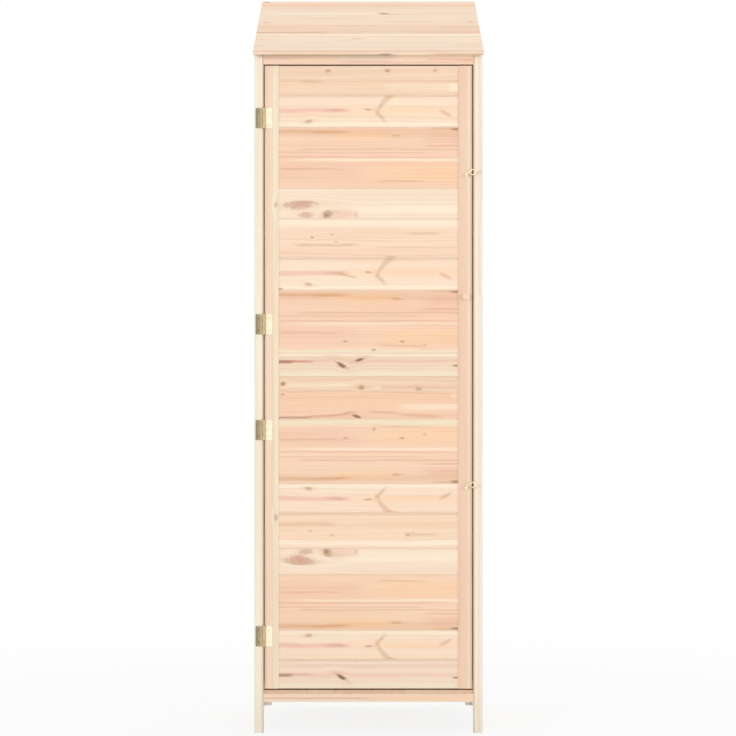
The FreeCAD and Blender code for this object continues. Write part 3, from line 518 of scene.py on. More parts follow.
def paint_edges(tree, shade, from_edge, uneven, joint_shade, bevel):
    """Painted shade at the edges of a board where it meets the next, uneven along it, and painted
    light on its bevels that lifts the shade in the grooves.
    """
    painted_joint_shade = tree.times(tree.rise(from_edge, JOINT_SHADE_START, JOINT_SHADE_FULL),
                        tree.maths("MULTIPLY_ADD", uneven, JOINT_SHADE_CONTRAST, JOINT_SHADE_LEAST))
    shade = tree.blend(tree.times(painted_joint_shade, joint_shade), shade, TAN)
    if bevel:
        painted_bevel_light = tree.times(tree.rise(from_edge, BEVEL_START, BEVEL_FULL), bevel)
        shade = tree.blend(painted_bevel_light, shade, BEVEL_LIGHT)
    return shade


def paint_ends(tree, shade, facing_along):
    """Darker wood where a board is cut across its grain."""
    end_grain = tree.rise(tree.maths("ABSOLUTE", facing_along), END_GRAIN_START, END_GRAIN_FULL)
    return tree.blend(end_grain, shade, tree.blend(END_GRAIN_TAN, shade, TAN))


def wood_material(name, wood, axes, low, size, seed, cover=None, bevel=0.0):
    """Material of boards whose lowest corner and size are given as along, across and into.
    Cover is the height that each board of a node with several boards covers, and bevel says
    how strongly painted light lifts the shade on the bevels."""
    material = bpy.data.materials.new(name)
    material.use_nodes = True
    tree = Tree(material.node_tree)
    shader = material.node_tree.nodes["Principled BSDF"]
    position = tree.node("TexCoord").outputs
    along, across, depth = [tree.less(tree.dot(position["Object"], axis), start)
                            for axis, start in zip(axes, low)]
    number = seed
    pith_across = wood.pith[0] * size[1]
    tone = wood.early
    if cover:
        board = tree.maths("FLOOR", tree.maths("DIVIDE", across, cover))
        across = tree.less(across, tree.times(board, cover))
        number = tree.maths("MULTIPLY_ADD", board, COVER_STEP, seed)
        pith_across = tree.times(tree.scatter(tree.add(number, PITH_SEED)), cover)
        size = (size[0], cover, size[2])
    if wood.other:
        drawn = tree.scatter(tree.add(number, TONE_SEED))
        tone = tree.blend(tree.rise(drawn, *OTHER_TONE), tone, colour(wood.other))
    knots, flowing = grow_knots(tree, wood, along, across, number, size)
    place = {"along": along, "flowing": flowing, "depth": depth}
    for mark in wood.marks:
        if isinstance(mark, Streak):
            tone = mark.paint(tree, tone, place, size)
    grain = tree.group(SOFTWOOD, {
        "Along": along, "Across": flowing, "Depth": depth, "Seed": number,
        "Ring": wood.ring, "Pith Across": pith_across, "Pith Depth": wood.pith[1] * MM,
        "Tone": tone, "Late": wood.late, "Contrast": wood.contrast})
    shade = grain["Colour"]
    for knot in knots:
        shade = paint_knot(tree, shade, *knot)
    # Painted shade at the joints along a board's edges, uneven along it, and painted light on the
    # bevels
    uneven = tree.noise(tree.point(tree.times(along, JOINT_SHADE_PER_METRE), number, 0.0))
    from_edge = tree.maths("MINIMUM", across, tree.less(size[1], across))
    shade = paint_edges(tree, shade, from_edge, uneven, wood.edge, bevel)
    shade = paint_ends(tree, shade, tree.dot(position["Normal"], axes[0]))
    tree.feed(shader.inputs["Base Color"], shade)
    tree.feed(shader.inputs["Roughness"], tree.maths(
        "MULTIPLY_ADD", grain["Grain"], FIBRE_GLOSS, wood.roughness + MORE_ROUGHNESS))
    shader.inputs["Specular IOR Level"].default_value = WOOD_SPECULAR
    bump = tree.node("Bump", {"Height": grain["Grain"], **RELIEF})
    tree.feed(shader.inputs["Normal"], bump.outputs[0])
    return material


def dress(node, material):
    """Give a CAD node one material."""
    mesh = nodes[node].data
    mesh.materials.clear()
    mesh.materials.append(material)


def extent(node, axes):
    """Lowest corner and size of a node along three directions."""
    points = [vertex.co for vertex in nodes[node].data.vertices]
    low, size = [], []
    for axis in axes:
        values = [point.dot(axis) for point in points]
        low.append(min(values))
        size.append(max(values) - min(values))
    return low, size


def dress_wood(node, wood, axes, seed, cover=None, window=None, hidden=0.0, bevel=0.0):
    """Wood on a CAD node. The window is the part of its length that shows, hidden is the
    height of a tongue at its top, and cover and bevel are as in wood_material."""
    low, size = extent(node, axes)
    if window:
        low[0] = window[0]
        size[0] = window[1] - window[0]
    size[1] -= hidden
    dress(node, wood_material("wood_" + node, wood, axes, low, size, seed, cover, bevel))


def turned_over(marks):
    """The same marks with the board turned upside down."""
    return [mark.turned() for mark in marks]


def forked_marks(knot_tilt):
    """Pale board with a pink vein, a small knot and the fork of a branch."""
    return [
        Streak(-0.1, 1.1, 0.09, 4, CREAM, 0.8),
        Streak(0.2, 0.45, 0.2, 6, GREENISH, 0.5),
        Streak(0.37, 1.1, 0.52, 9, PEACH, 0.7),
        Streak(0.56, 0.9, 0.52, 6, APRICOT, 0.35, fade=30),
        Streak(-0.1, 0.375, 0.52, 6, PINK, 0.8),
        Streak(0.27, 0.37, 0.52, 3.4, ROSE, 0.45),
        Streak(0.545, 0.635, 0.46, 4.6, TAN, 0.5, slope=1.8, bend=-19, fade=8, wave=2),
        Streak(0.54, 0.59, 0.5, 4.6, TAN, 0.55, slope=-1.0, fade=10, wave=2),
        Streak(0.9, 0.96, 0.5, 4.4, ROSE, 0.5, slope=-0.42, fade=8, wave=2),
        Streak(0.6, 0.65, 0.98, 3.5, TAN, 0.5, fade=10),
        Knot(0.166, 0.18, 9, 5, BROWN, 0.42, tilt=knot_tilt, stain=0.6),
        Knot(0.5, 0.55, 10, 3, BROWN, 0.5, tilt=-5)]


def forked_board(marks):
    return Wood("F9E1C8", "EDC8A9", 3.0, 0.6, (0.5, 55), marks=marks)


def wide_marks():
    """Wide pinkish-orange board with bright and dark veins."""
    return [
        Streak(-0.1, 0.45, 0.28, 20, PINK, 0.3),
        Streak(0.55, 1.1, 0.26, 20, APRICOT, 0.6, fade=60),
        Streak(0.3, 0.62, 0.87, 9, APRICOT, 0.75, fade=40),
        Streak(0.83, 1.15, 0.83, 11, PINK, 0.6, fade=30),
        Streak(-0.1, 1.1, 0.915, 9.5, OCHRE, 0.24, wave=3),
        Streak(-0.1, 0.38, 0.93, 4.6, OCHRE, 0.35, fade=30),
        Streak(0.2, 0.38, 0.92, 2.2, OCHRE, 0.45),
        Streak(0.82, 1.1, 0.7, 2.2, ROSE, 0.4),
        Streak(0.12, 1.1, 0.64, 2.2, TAN, 0.4),
        Streak(-0.1, 0.8, 0.59, 1.8, ROSE, 0.3),
        Streak(-0.1, 0.9, 0.51, 1.8, ROSE, 0.35, fade=60),
        Streak(0.12, 1.1, 0.47, 3.4, CREAM, 0.6, fade=60),
        Streak(0.0, 0.33, 0.32, 2.2, ROSE, 0.35),
        Streak(0.56, 0.8, 0.12, 2.4, OCHRE, 0.35),
        Streak(0.86, 1.1, 0.98, 2.6, TAN, 0.6, fade=30),
        Streak(0.965, 1.1, 0.975, 3.6, BROWN, 0.75, fade=8),
        Knot(0.656, 0.865, 11, 3.4, TAN, 0.6)]


def wide_marks_with_knots(shift):
    """Wide board that also shows four small knots above a greenish band at its lower edge.
    Shift moves them up by a share of the board's height."""
    lower = [
        Streak(-0.1, 1.1, shift / 2, 7.5, GREENISH, 0.8),
        Knot(0.371, 0.175 + shift, 5.5, 3.2, BROWN, 0.45),
        Knot(0.687, 0.175 + shift, 6, 3.2, BROWN, 0.5),
        Knot(0.815, 0.12 + shift, 5.5, 3.4, REDDISH, 0.3),
        Knot(0.53, 0.04 + shift, 5, 4, BROWN, 0.5)]
    return wide_marks() + lower


def oval_marks():
    """Pale board with a long flat pink knot, two smaller ones below it and a pink patch."""
    return [
        Streak(0.3, 1.1, 0.8, 9, PINK, 0.12),
        Streak(0.4, 1.1, 0.3, 12, CREAM, 0.6, fade=50),
        Streak(0.31, 0.43, 0.17, 8, PINK, 0.5, fade=14),
        Streak(0.425, 0.437, 0.14, 6, TAN, 0.5, fade=4),
        Knot(0.264, 0.11, 6.5, 5, UMBER, 0.75, tilt=20, stain=0.0, rim=0.0),
        Knot(0.15, 0.12, 19, 8.5, REDDISH, 0.5, stain=0.3, rim=0.15),
        Knot(0.272, 0.12, 14, 7, BROWN, 0.5, tilt=14, stain=0.8, rim=0.0),
        Knot(0.122, 0.3, 28, 9, ROSE, 0.5, stain=0.2, rim=0.0),
        Knot(0.12, 0.375, 44, 7, REDDISH, 0.6, tilt=1, stain=0.3, rim=0.1)]


def oval_board(marks):
    return Wood("F8E2CA", "EACCAE", 2.8, 0.6, (0.3, 60), marks=marks, edge=0.04)


def split_marks(up, knot_height):
    """Short board with a dark vein at its left and a dark knot in its middle. Up is the vein's
    level and knot_height how far below it the knot lies, as shares of the board's height."""
    return [
        Streak(-0.1, 1.1, 0.1, 7, GREENISH, 0.9),
        Streak(0.15, 1.1, up - 0.02, 5, PINK, 0.4),
        Streak(-0.1, 0.18, up, 3.2, ROSE, 0.5),
        Streak(-0.1, 0.07, up - 0.03, 3.8, BROWN, 0.7, fade=10),
        Knot(0.35, up - knot_height, 12, 5.2, UMBER, 0.85, tilt=-30, stain=0.8),
        Knot(0.987, up - knot_height - 0.02, 7, 3.2, BROWN, 0.75)]


# Shade along the upper edge of a board
UPPER_EDGE = Streak(-0.1, 1.1, 0.965, 3.2, TAN, 0.34, wave=2)


def board_looks():
    """Looks of the door boards from the top down."""
    return (
        Wood("F3D7BD", "E0BC9C", 3.4, 0.8, (0.75, 30), marks=[
            Streak(-0.1, 1.1, 0.3, 14, PEACH, 0.5), Streak(0.6, 1.1, 0.3, 9, CREAM, 0.4),
            Streak(-0.1, 1.1, 0.47, 3.6, TAN, 0.25), Streak(0.14, 0.24, 0.46, 4, TAN, 0.45),
            Streak(0.95, 1.0, 0.26, 9, CREAM, 0.8, fade=5),
            Knot(0.274, 0.83, 6.5, 4.4, amount=0.55),
            Knot(0.606, 0.83, 6.5, 4.4, amount=0.55), Knot(0.872, 0.84, 6, 4.2, amount=0.4)]),
        forked_board(forked_marks(8) + [UPPER_EDGE]),
        Wood("F7D3B8", "E9BB97", 3.6, 0.8, (1.3, 50), marks=wide_marks()),
        oval_board(oval_marks()),
        Wood("F8DDC3", "E7BE9C", 3.4, 0.75, (0.35, 40), marks=[
            Streak(-0.1, 1.1, 0.89, 10, CREAM, 0.75), Streak(-0.1, 1.1, 0.12, 9, PINK, 0.25),
            Streak(0.1, 0.425, 0.33, 3.6, TAN, 0.5), Streak(0.73, 0.89, 0.61, 3.2, TAN, 0.35),
            Streak(0.55, 1.0, 0.26, 1.5, ROSE, 0.3),
            Streak(0.6, 0.65, 0.02, 3, BROWN, 0.45, fade=6),
            Knot(0.186, 0.52, 5.5, 3.4, amount=0.45),
            Knot(0.296, 0.59, 5, 3.2, amount=0.35), Knot(0.32, 0.41, 5, 3.2, amount=0.35)]),
        forked_board(forked_marks(-8) + [
            UPPER_EDGE, Streak(0.33, 0.43, 0.5, 2.5, TAN, 0.6, slope=-0.2, fade=8),
            Streak(-0.02, 0.02, 0.02, 4, BROWN, 0.7, fade=4)]),
        Wood("F7D3B9", "E9BB98", 3.6, 0.8, (1.3, 50), marks=wide_marks_with_knots(0.01)),
        Wood("F2DCC2", "DDB696", 3.2, 0.8, (0.7, 28), marks=[
            Streak(-0.1, 0.185, 0.64, 3, ROSE, 0.8, fade=8)] + split_marks(0.64, 0.16) + [
            Streak(-0.1, 1.1, 0.93, 4, CREAM, 0.6),
            Knot(0.45, 0.71, 11, 4, UMBER, 0.85, tilt=18, stain=0.8)]),
        Wood("F2D6B9", "E0B893", 3.2, 0.7, (0.5, 30), marks=[
            Streak(0.05, 0.4, 0.35, 6, CREAM, 0.5), Streak(0.55, 1.1, 0.3, 6, PINK, 0.5),
            Streak(-0.1, 1.1, 0.88, 3, TAN, 0.12), Streak(0.53, 0.57, 0.25, 3, CREAM, 0.7, fade=5),
            Streak(-0.1, 0.43, 0.02, 1.6, BROWN, 0.4),
            Knot(0.024, 0.5, 6.5, 6, amount=0.8, stain=0.3),
            Knot(0.46, 0.24, 7, 6.2, amount=0.65), Knot(0.78, 0.14, 8, 4.8, amount=0.55)]),
        Wood("F6CFB2", "E6B48F", 3.4, 0.75, (1.2, 40), marks=[
            Streak(0.1, 0.7, 0.6, 9, APRICOT, 0.3),
            Streak(0.69, 1.1, 0.42, 6.5, CREAM, 0.6, fade=35),
            Streak(0.5, 0.66, 0.26, 3.4, TAN, 0.5, slope=-0.05),
            Streak(0.68, 0.9, 0.16, 3.8, ROSE, 0.45, slope=-0.06),
            Streak(0.14, 0.43, 0.06, 2.8, ROSE, 0.6, slope=0.06, wave=2),
            Streak(-0.1, 0.17, 0.03, 3.2, BROWN, 0.7, fade=10),
            Streak(0.96, 0.99, 0.85, 4.5, CREAM, 0.6, fade=5), Knot(0.02, 0.88, 6, 4, amount=0.4),
            Knot(0.436, 0.08, 12, 4.6, UMBER, 0.85, tilt=-20)]),
        Wood("F7D5BA", "E9BC99", 3.6, 0.75, (-0.3, 50), marks=turned_over(
            wide_marks_with_knots(0.12))),
        forked_board(turned_over(forked_marks(8))),
        Wood("F8DDC2", "E8C09D", 3.4, 0.75, (0.6, 40), marks=[
            UPPER_EDGE, Streak(-0.1, 1.1, 0.16, 6, CREAM, 0.9),
            Streak(-0.1, 0.3, 0.68, 5, TAN, 0.4),
            Streak(0.73, 0.89, 0.38, 3, TAN, 0.4), Knot(0.72, 0.38, 6, 3.8, amount=0.45),
            Knot(0.176, 0.48, 5, 3.2, amount=0.25), Knot(0.296, 0.38, 5, 3.2, amount=0.25)]),
        oval_board(turned_over(oval_marks())),
        Wood("F8D6BA", "E9BC98", 3.6, 0.75, (-0.3, 50), marks=turned_over(wide_marks())),
        forked_board(turned_over(forked_marks(-8))),
        Wood("F6DEC9", "E5C3A5", 3.4, 0.8, (0.75, 30), marks=[
            UPPER_EDGE] + split_marks(0.48, 0.09)))


# How strongly painted light lifts the shade on the bevels of the door boards
DOOR_BEVEL = 0.6

# Each node has a seed of its own, and nodes of one kind count up from it in these steps
DOOR_SEED_STEP = 0.37
POST_SEED_STEP = 1.3
ROOF_SEED_STEP = 1.7
SIDE_SEED_STEP = 20
SHELF_SEED_STEP = 11


def dress_door():
    """Each door board over the part of it that shows, the stiles and the battens."""
    looks = reversed(board_looks())
    for number, (node, look) in enumerate(zip(DOOR_BOARDS, looks)):
        tongue = TONGUE if number < len(DOOR_BOARDS) - 1 else 0.0
        dress_wood(node, look, ACROSS_FRONT, number * DOOR_SEED_STEP + 1, window=BETWEEN_STILES,
                   hidden=tongue, bevel=DOOR_BEVEL)
    left = Wood("F1D7BD", "E3BF9F", 3.0, 0.6, (0.4, 40), marks=[
        Streak(-0.1, 1.1, 0.78, 7.5, GREENISH, 0.75, wave=3),
        Streak(-0.1, 1.1, 0.56, 0.9, TAN, 0.25, wave=2),
        # Painted shade along the gap beside the post
        Streak(-0.1, 1.1, 0.058, 1.4, GAP_SHADE, 0.4, wave=0),
        Knot(0.777, 0.8, 7, 5, BROWN, 0.4), Knot(0.275, 0.8, 9, 5.5, BROWN, 0.45)], edge=0.0)
    dress_wood("door_left_stile", left, UPRIGHT, 3.1)
    right = Wood("EDD0B5", "DDB899", 3.0, 0.6, (0.6, 40), marks=[
        Streak(-0.1, 1.1, 0.74, 2.4, CREAM, 0.4, wave=1),
        Streak(-0.1, 1.1, 0.12, 4, PINK, 0.35, wave=2),
        # Painted shade along the gap beside the post
        Streak(-0.1, 1.1, 0.942, 1.4, GAP_SHADE, 0.5, wave=0)], edge=0.0)
    dress_wood("door_right_stile", right, UPRIGHT, 4.3)
    inner = Wood("F3D9BD", "DDB48D", 3.2, 0.8, (0.5, 35), knotty=True)
    dress_wood("door_battens", inner, ACROSS_FRONT, 5.7)


def dress_posts():
    """Eight half posts, greyer at their outer edge, with painted shade at the foot of the front
    posts, painted light at the foot of the rear posts and painted shade at the gap.
    """
    seed = 6.0
    for side, early, outer, inner, gap in (("left", "F7EBD5", 0.05, 0.7, 0.91),
                                           ("right", "F6E5CF", 0.95, 0.3, 0.09)):
        for end in ("front", "rear"):
            for level in ("lower", "upper"):
                marks = [Streak(-0.1, 1.1, outer, 6, GREYISH, 0.8, wave=2),
                         Streak(-0.1, 1.1, inner, 3.5, CREAM, 0.5, wave=2)]
                if end == "front":
                    # Painted shade along the gap beside the door
                    marks.append(Streak(-0.1, 1.1, gap, 1.5, GAP_SHADE, 0.45, wave=0))
                if level == "lower":
                    # Painted shade on the foot of a front post; on a rear post a paler tone,
                    # painted light against its shadow under the cabinet
                    foot, amount = (SHADED, 0.3) if end == "front" else (GREYISH, 0.8)
                    marks.append(Streak(-0.1, 0.08, 0.5, 25, foot, amount, fade=40))
                wood = Wood(early, "E3C9AA", 2.6, 0.55, (0.4, 35), marks=marks, edge=0.0)
                seed += POST_SEED_STEP
                dress_wood("%s_%s_post_%s" % (side, end, level), wood, UPRIGHT, seed)


def dress_rails():
    """The rails that join the posts, and the marks of the two in front."""
    top = Wood("F6DAC3", "E6C0A2", 3.0, 0.6, (0.8, 30), marks=[
        # The cream streak high on the top rail is painted light against the shadow of the roof
        # over it
        Streak(-0.1, 1.1, 0.62, 5, CREAM, 0.9), Streak(-0.1, 0.2, 0.45, 3, PINK, 0.4),
        Streak(0.14, 0.31, 0.36, 2.6, STRAW, 0.5, fade=12),
        Streak(0.78, 1.05, 0.32, 1.5, ROSE, 0.6), Streak(0.94, 1.05, 0.32, 1.5, ROSE, 0.6),
        Streak(0.4, 1.0, 0.15, 2.5, TAN, 0.3)])
    bottom = Wood("F5D8C1", "E5BEA1", 3.0, 0.7, (0.8, 30), marks=[
        Streak(0.55, 1.1, 0.45, 5, APRICOT, 0.5), Streak(-0.1, 1.1, 0.05, 3, CREAM, 0.6),
        Streak(-0.1, 0.5, 0.45, 2, ROSE, 0.45)])
    rear = Wood("F4D3B2", "E3B48D", 3.0, 0.7, (0.8, 30), knotty=True)
    dress_wood("front_top_rail", top, ACROSS_FRONT, 20, window=BETWEEN_POSTS)
    dress_wood("front_bottom_rail", bottom, ACROSS_FRONT, 21, window=BETWEEN_POSTS)
    dress_wood("rear_top_rail", rear, ACROSS_FRONT, 22)
    dress_wood("rear_bottom_rail", rear, ACROSS_FRONT, 23)


def dress_roof():
    """Roof boards from the front up, each with its own tone and marks."""
    looks = (
        Wood("F4DEC6", "E2BFA0", 3.2, 0.8, (0.2, 40), marks=[
            Streak(-0.1, 0.05, 0.55, 4, ROSE, 0.5), Streak(0.86, 1.1, 0.6, 3, PINK, 0.6),
            Streak(-0.1, 1.1, 0.02, 2, PINK, 0.5),
            Streak(-0.1, 1.1, 0.6, 3, CREAM, 0.5, on_edge=True, wave=1),
            # The brown, umber and rose streaks low on the front edge are a painted shadow line
            # under the roof's edge
            Streak(0.02, 0.6, 0.95, 1.2, BROWN, 0.7, on_edge=True, wave=1),
            Streak(0.55, 0.6, 0.85, 2.2, UMBER, 0.55, on_edge=True, wave=1, fade=10),
            Streak(0.78, 1.1, 0.8, 2, ROSE, 0.6, on_edge=True, wave=1)]),
        Wood("F6E0C7", "E6C4A3", 3.4, 0.7, (0.6, 50), marks=[
            Streak(0.05, 1.1, 0.8, 9, CREAM, 0.7), Knot(0.45, 0.35, 14, 6, TAN, 0.6, tilt=8),
            Streak(0.36, 0.44, 0.14, 4, PINK, 0.6, slope=0.2),
            Streak(-0.1, 0.06, 0.25, 6, PINK, 0.7)]),
        Wood("F0D1B3", "DDB290", 3.4, 0.8, (0.4, 45), marks=[
            Streak(-0.1, 0.3, 0.08, 7, TAN, 0.6), Streak(0.7, 1.1, 0.12, 7, ROSE, 0.4),
            Streak(0.2, 0.8, 0.7, 12, PEACH, 0.4)]),
        Wood("F5DAC0", "E5C0A0", 3.2, 0.7, (0.7, 35), marks=[
            Streak(0.58, 0.78, 0.4, 9, PINK, 0.5), Knot(0.035, 0.3, 8, 8, ROSE, 0.5),
            Knot(0.965, 0.35, 8, 8, ROSE, 0.5), Streak(0.2, 0.4, 0.75, 6, TAN, 0.3)]),
        Wood("F4DDC5", "E2BF9F", 3.4, 0.75, (0.3, 45), marks=[
            Streak(0.08, 0.54, 0.38, 7, CREAM, 0.8), Streak(0.6, 1.1, 0.32, 4, ROSE, 0.55),
            Knot(0.57, 0.38, 13, 11, BROWN, 0.8)]),
        Wood("F3D7BC", "E4BE9E", 3.2, 0.7, (0.5, 50), marks=[
            Streak(-0.1, 0.4, 0.5, 14, APRICOT, 0.45, fade=60),
            Streak(-0.1, 1.1, 0.45, 12, PINK, 0.5), Streak(-0.1, 1.1, 0.93, 7, CREAM, 0.5),
            Knot(0.02, 0.85, 8, 9, BROWN, 0.6)]))
    for number, (node, look) in enumerate(zip(ROOF_BOARDS, looks)):
        dress_wood(node, look, ON_ROOF, 30.0 + number * ROOF_SEED_STEP)


def dress_rest():
    """Sides, back, floor, shelves and the small pieces of wood."""
    cladding = Wood("F7E0C6", "E2BD98", 3.4, 0.85, (0.5, 45), other="F5CFB0", knotty=True)
    for number, side in enumerate(("left", "right")):
        dress_wood(side + "_side_boards_lower", cladding, ALONG_SIDE,
                   40.0 + number * SIDE_SEED_STEP, COVER_LOWER)
        dress_wood(side + "_side_boards_upper", cladding, ALONG_SIDE,
                   50.3 + number * SIDE_SEED_STEP, COVER_UPPER_SIDE)
    dress_wood("back_boards_lower", cladding, ACROSS_FRONT, 80.6, COVER_LOWER)
    dress_wood("back_boards_upper", cladding, ACROSS_FRONT, 90.9, COVER_UPPER_BACK)
    inner = Wood("F4DBC0", "DDB48D", 3.2, 0.8, (0.5, 35), other="F1CBAA", knotty=True)
    under = Wood("E8D2B8", "CFAE8C", 3.2, 0.8, (0.5, 35), other="E3C6A8", knotty=True)
    dress_wood("floor_boards", under, FLAT_TO_BACK, 100.0, COVER_FLOOR)
    for number, node in enumerate(("lower_shelf", "middle_shelf", "upper_shelf")):
        dress_wood(node, inner, FLAT_ACROSS, 101.0 + number * SHELF_SEED_STEP, COVER_SHELF)
    dress_wood("shelf_battens", inner, ALONG_SIDE, 65.0)
    dress_wood("roof_rails", inner, ALONG_SIDE, 66.0)
    dress_wood("post_dowels", inner, UPRIGHT, 67.0)
    knob = Wood("FFEAD2", "F8D2B0", 2.2, 0.4, (0.5, 12), edge=0.0, roughness=0.5)
    dress_wood("door_knob", knob, ALONG_SIDE, 68.0)


# Brass: its clouds of tarnish and its scratches, and how rough and uneven it is
CLOUDS_PER_METRE = 90.0
SCRATCHES_PER_METRE = 1200.0
TARNISH_START = 0.4
TARNISH_FULL = 0.75
TARNISH_STRENGTH = 0.4
TARNISH = (0.80, 0.74, 0.58, 1.0)
ROUGHNESS_SPREAD = 0.2
SCRATCH_RELIEF = {"Strength": 0.2, "Distance": 0.05 * MM}


def brass_material(name, left_tone, right_tone, left, right, roughness):
    """Brass with a faint tarnish and fine scratches, changing in tone between two places on
    the X axis, left and right."""
    material = bpy.data.materials.new(name)
    material.use_nodes = True
    tree = Tree(material.node_tree)
    shader = material.node_tree.nodes["Principled BSDF"]
    place = tree.node("TexCoord").outputs["Object"]
    clouds = tree.noise(tree.scaled(place, CLOUDS_PER_METRE), 4, 0.6)
    scratches = tree.noise(tree.scaled(place, SCRATCHES_PER_METRE), 2, 0.6)
    share = tree.rise(tree.dot(place, (1, 0, 0)), left, right)
    shade = tree.blend(share, colour(left_tone), colour(right_tone))
    tarnish = tree.times(tree.rise(clouds, TARNISH_START, TARNISH_FULL), TARNISH_STRENGTH)
    shade = tree.blend(tarnish, shade, TARNISH, "MULTIPLY")
    tree.feed(shader.inputs["Base Color"], shade)
    tree.feed(shader.inputs["Roughness"], tree.maths(
        "MULTIPLY_ADD", scratches, ROUGHNESS_SPREAD, roughness - ROUGHNESS_SPREAD / 2))
    shader.inputs["Metallic"].default_value = 1.0
    bump = tree.node("Bump", {"Height": scratches, **SCRATCH_RELIEF})
    tree.feed(shader.inputs["Normal"], bump.outputs[0])
    return material


# Countersunk screw: head, its bevel, the core below it, and the cross in it
HEAD_RADIUS = 2.95 * MM
HEAD_BEVEL = 0.15 * MM
CORE_RADIUS = 1.6 * MM
HEAD_DEPTH = 1.2 * MM
CROSS_REACH = 1.7 * MM
CROSS_HALF_WIDTH = 0.42 * MM
CROSS_DEPTH = 0.95 * MM
CROSS_TAPER = 0.45
SCREW_SEGMENTS = 24
SCREW_FIRST_TURN = 0.3
SCREW_TURN_STEP = 1.1

# Share of a door leaf that lies beside its barrel and gets painted shade
BARREL_SHARE = 0.35


def add_screw(bm, place, turn):
    """A screw with a flat head and a cross, looking to the front."""
    def ring(points, depth):
        made = []
        for across, up in points:
            x = across * math.cos(turn) - up * math.sin(turn)
            z = across * math.sin(turn) + up * math.cos(turn)
            made.append(bm.verts.new(place + Vector((x, depth, z))))
        return made

    def circle(radius):
        angles = [2 * math.pi * step / SCREW_SEGMENTS for step in range(SCREW_SEGMENTS)]
        return [(radius * math.cos(angle), radius * math.sin(angle)) for angle in angles]

    def cross(scale):
        reach, half = CROSS_REACH * scale, CROSS_HALF_WIDTH * scale
        return [(reach, -half), (reach, half), (half, half), (half, reach), (-half, reach),
                (-half, half), (-reach, half), (-reach, -half), (-half, -half), (-half, -reach),
                (half, -reach), (half, -half)]

    def join(first, second):
        for index in range(len(first)):
            after = (index + 1) % len(first)
            bm.faces.new((first[index], first[after], second[after], second[index]))

    def edges_of(loop):
        return [bm.edges.get((loop[index - 1], loop[index])) for index in range(len(loop))]

    top = ring(circle(HEAD_RADIUS - HEAD_BEVEL), 0)
    rim = ring(circle(HEAD_RADIUS), HEAD_BEVEL)
    core = ring(circle(CORE_RADIUS), HEAD_DEPTH)
    mouth = ring(cross(1), 0)
    bottom = ring(cross(CROSS_TAPER), CROSS_DEPTH)
    join(top, rim)
    join(rim, core)
    join(mouth, bottom)
    bm.faces.new(core)
    bm.faces.new(bottom)
    bmesh.ops.triangle_fill(bm, use_beauty=True, edges=edges_of(top) + edges_of(mouth))


def hinge_screws(name, body, across, material):
    """Two screws in each of the four hinges, through the leaves on one side."""
    bm = bmesh.new()
    turn = SCREW_FIRST_TURN
    for middle in HINGE_MIDDLES:
        for up in (-SCREW_UP, SCREW_UP):
            turn += SCREW_TURN_STEP
            add_screw(bm, Vector((HINGE_AXIS + across, LEAF_FACE, middle + up)), turn)
    bmesh.ops.recalc_face_normals(bm, faces=bm.faces)
    mesh = bpy.data.meshes.new(name)
    bm.to_mesh(mesh)
    bm.free()
    mesh.materials.append(material)
    piece = bpy.data.objects.new(name, mesh)
    bpy.context.scene.collection.objects.link(piece)
    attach(piece, body)


def dress_metal():
    """Hinges, hooks, eyes and screws. The post's leaves are darker than the door's, and darkest at
    their outer edge, and the door's leaves darker beside the barrel, all as painted shade.
    """
    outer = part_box("hinge_post_leaves")[0][0]
    middle = HINGE_AXIS
    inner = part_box("hinge_door_leaves")[1][0]
    beside_barrel = middle + BARREL_SHARE * (inner - middle)
    # Painted shade: the post's leaves darken towards their outer edge and the door's towards the
    # barrel
    post_leaf = brass_material("brass_post_leaf", "968B6E", "CAB895", outer, middle,
                               roughness=0.6)
    door_leaf = brass_material("brass_door_leaf", "C3B28C", "F2E9D0", middle, beside_barrel,
                               roughness=0.6)
    pin = brass_material("brass_pin", "B5A684", "B5A684", outer, middle, roughness=0.55)
    wire = brass_material("brass_wire", "FFF3DC", "FFF1D6", 0.0, 1.0, roughness=0.4)
    dress("hinge_post_leaves", post_leaf)
    dress("hinge_door_leaves", door_leaf)
    dress("hinge_pins", pin)
    for node in ("hook_pivot_eyes", "hook_catch_eyes", "upper_hook", "lower_hook"):
        dress(node, wire)
    hinge_screws("post_leaf_screws", "cabinet", -SCREW_OUT, post_leaf)
    hinge_screws("door_leaf_screws", "door", SCREW_OUT, door_leaf)


def seen_directly(tree):
    """1 for rays from the camera and for reflections, and 0 for light on the object."""
    path = tree.node("LightPath").outputs
    seen = tree.add(tree.add(path["Is Camera Ray"], path["Is Glossy Ray"]),
                    path["Is Transmission Ray"])
    return tree.maths("MINIMUM", seen, 1.0)


# Floor: its size and grey, and how much of it is plain white near the object and far away
FLOOR_SIZE = 60
FLOOR_GREY = (0.86, 0.86, 0.86, 1)
WHITE = (1, 1, 1, 1)
NEAR = 0.5
FAR = 2.5
WHITE_NEAR = 0.86
WHITE_FAR = 1.0


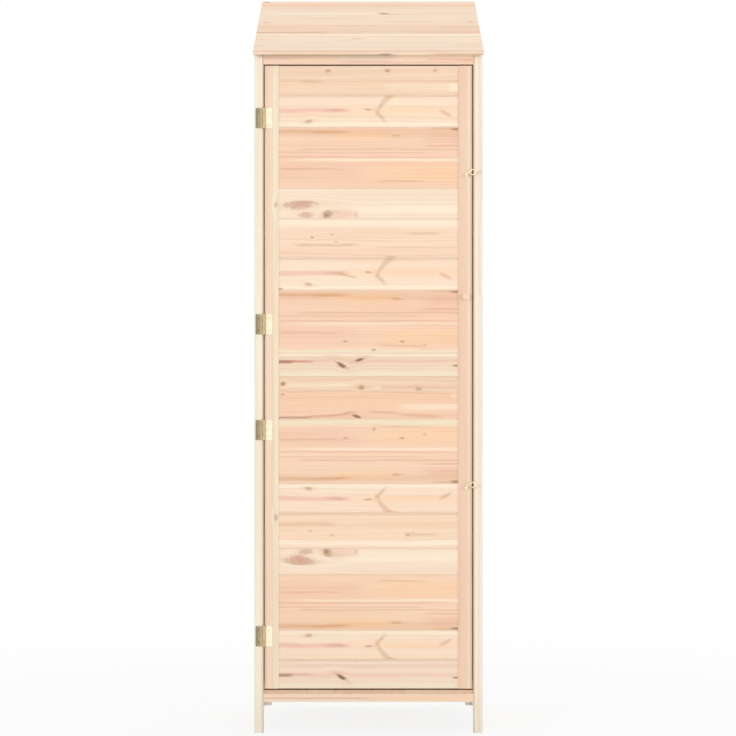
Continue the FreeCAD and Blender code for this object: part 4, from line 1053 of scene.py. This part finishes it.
def make_floor():
    """Plain pale floor that stays white behind the object and keeps its shadow."""
    bpy.ops.mesh.primitive_plane_add(size=FLOOR_SIZE, location=(0, 0, 0))
    floor = bpy.context.object
    floor.name = "floor"
    material = bpy.data.materials.new("pale_floor")
    material.use_nodes = True
    tree = Tree(material.node_tree)
    material.node_tree.nodes.clear()
    soft = tree.node("BsdfDiffuse", {"Color": FLOOR_GREY})
    glow = tree.node("Emission", {"Color": WHITE, "Strength": 1.0})
    away = tree.node("VectorMath", operation="LENGTH")
    tree.feed(away.inputs[0], tree.node("TexCoord").outputs["Object"])
    glowing = tree.spread(tree.rise(away.outputs["Value"], NEAR, FAR), WHITE_NEAR, WHITE_FAR)
    mixed = tree.node("MixShader")
    tree.feed(mixed.inputs[0], tree.times(seen_directly(tree), glowing))
    tree.feed(mixed.inputs[1], soft.outputs[0])
    tree.feed(mixed.inputs[2], glow.outputs[0])
    out = tree.node("OutputMaterial")
    tree.feed(out.inputs["Surface"], mixed.outputs[0])
    floor.data.materials.append(material)


def make_world(ambient):
    """White to the camera and in reflections, and of strength ambient as a light."""
    world = bpy.data.worlds.new("white_room")
    bpy.context.scene.world = world
    world.use_nodes = True
    tree = Tree(world.node_tree)
    background = world.node_tree.nodes["Background"]
    background.inputs["Color"].default_value = WHITE
    tree.feed(background.inputs["Strength"], tree.spread(seen_directly(tree), ambient, 1))


def far_lamp(name, azimuth, elevation, strength, spread=35):
    """Large soft lamp far away. Angles are in degrees, azimuth 0 in front, 90 on the right."""
    lamp = bpy.data.lights.new(name, "SUN")
    lamp.energy = strength
    lamp.angle = math.radians(spread)
    thing = bpy.data.objects.new(name, lamp)
    bpy.context.scene.collection.objects.link(thing)
    turn, lift = math.radians(azimuth), math.radians(elevation)
    towards = Vector((math.sin(turn) * math.cos(lift), -math.cos(turn) * math.cos(lift),
                      math.sin(lift)))
    thing.rotation_euler = towards.to_track_quat("Z", "Y").to_euler()


def make_camera():
    """Level camera that looks straight to the back."""
    data = bpy.data.cameras.new("camera")
    data.lens = CAMERA_LENS
    data.sensor_width = SENSOR_WIDTH
    camera = bpy.data.objects.new("camera", data)
    bpy.context.scene.collection.objects.link(camera)
    camera.location = CAMERA_PLACE
    camera.rotation_euler = (math.radians(90), 0, 0)
    bpy.context.scene.camera = camera


make_camera()
dress_door()
dress_posts()
dress_rails()
dress_roof()
dress_rest()
dress_metal()
make_floor()
make_world(ambient=0.6)
far_lamp("front_left_light", azimuth=-38, elevation=6, strength=0.78, spread=20)
far_lamp("front_right_light", azimuth=38, elevation=6, strength=0.74, spread=20)
far_lamp("right_light", azimuth=90, elevation=12, strength=0.3)
far_lamp("left_light", azimuth=-90, elevation=12, strength=0.3)
far_lamp("back_light", azimuth=170, elevation=60, strength=0.7)
bpy.context.scene.view_settings.view_transform = "Standard"
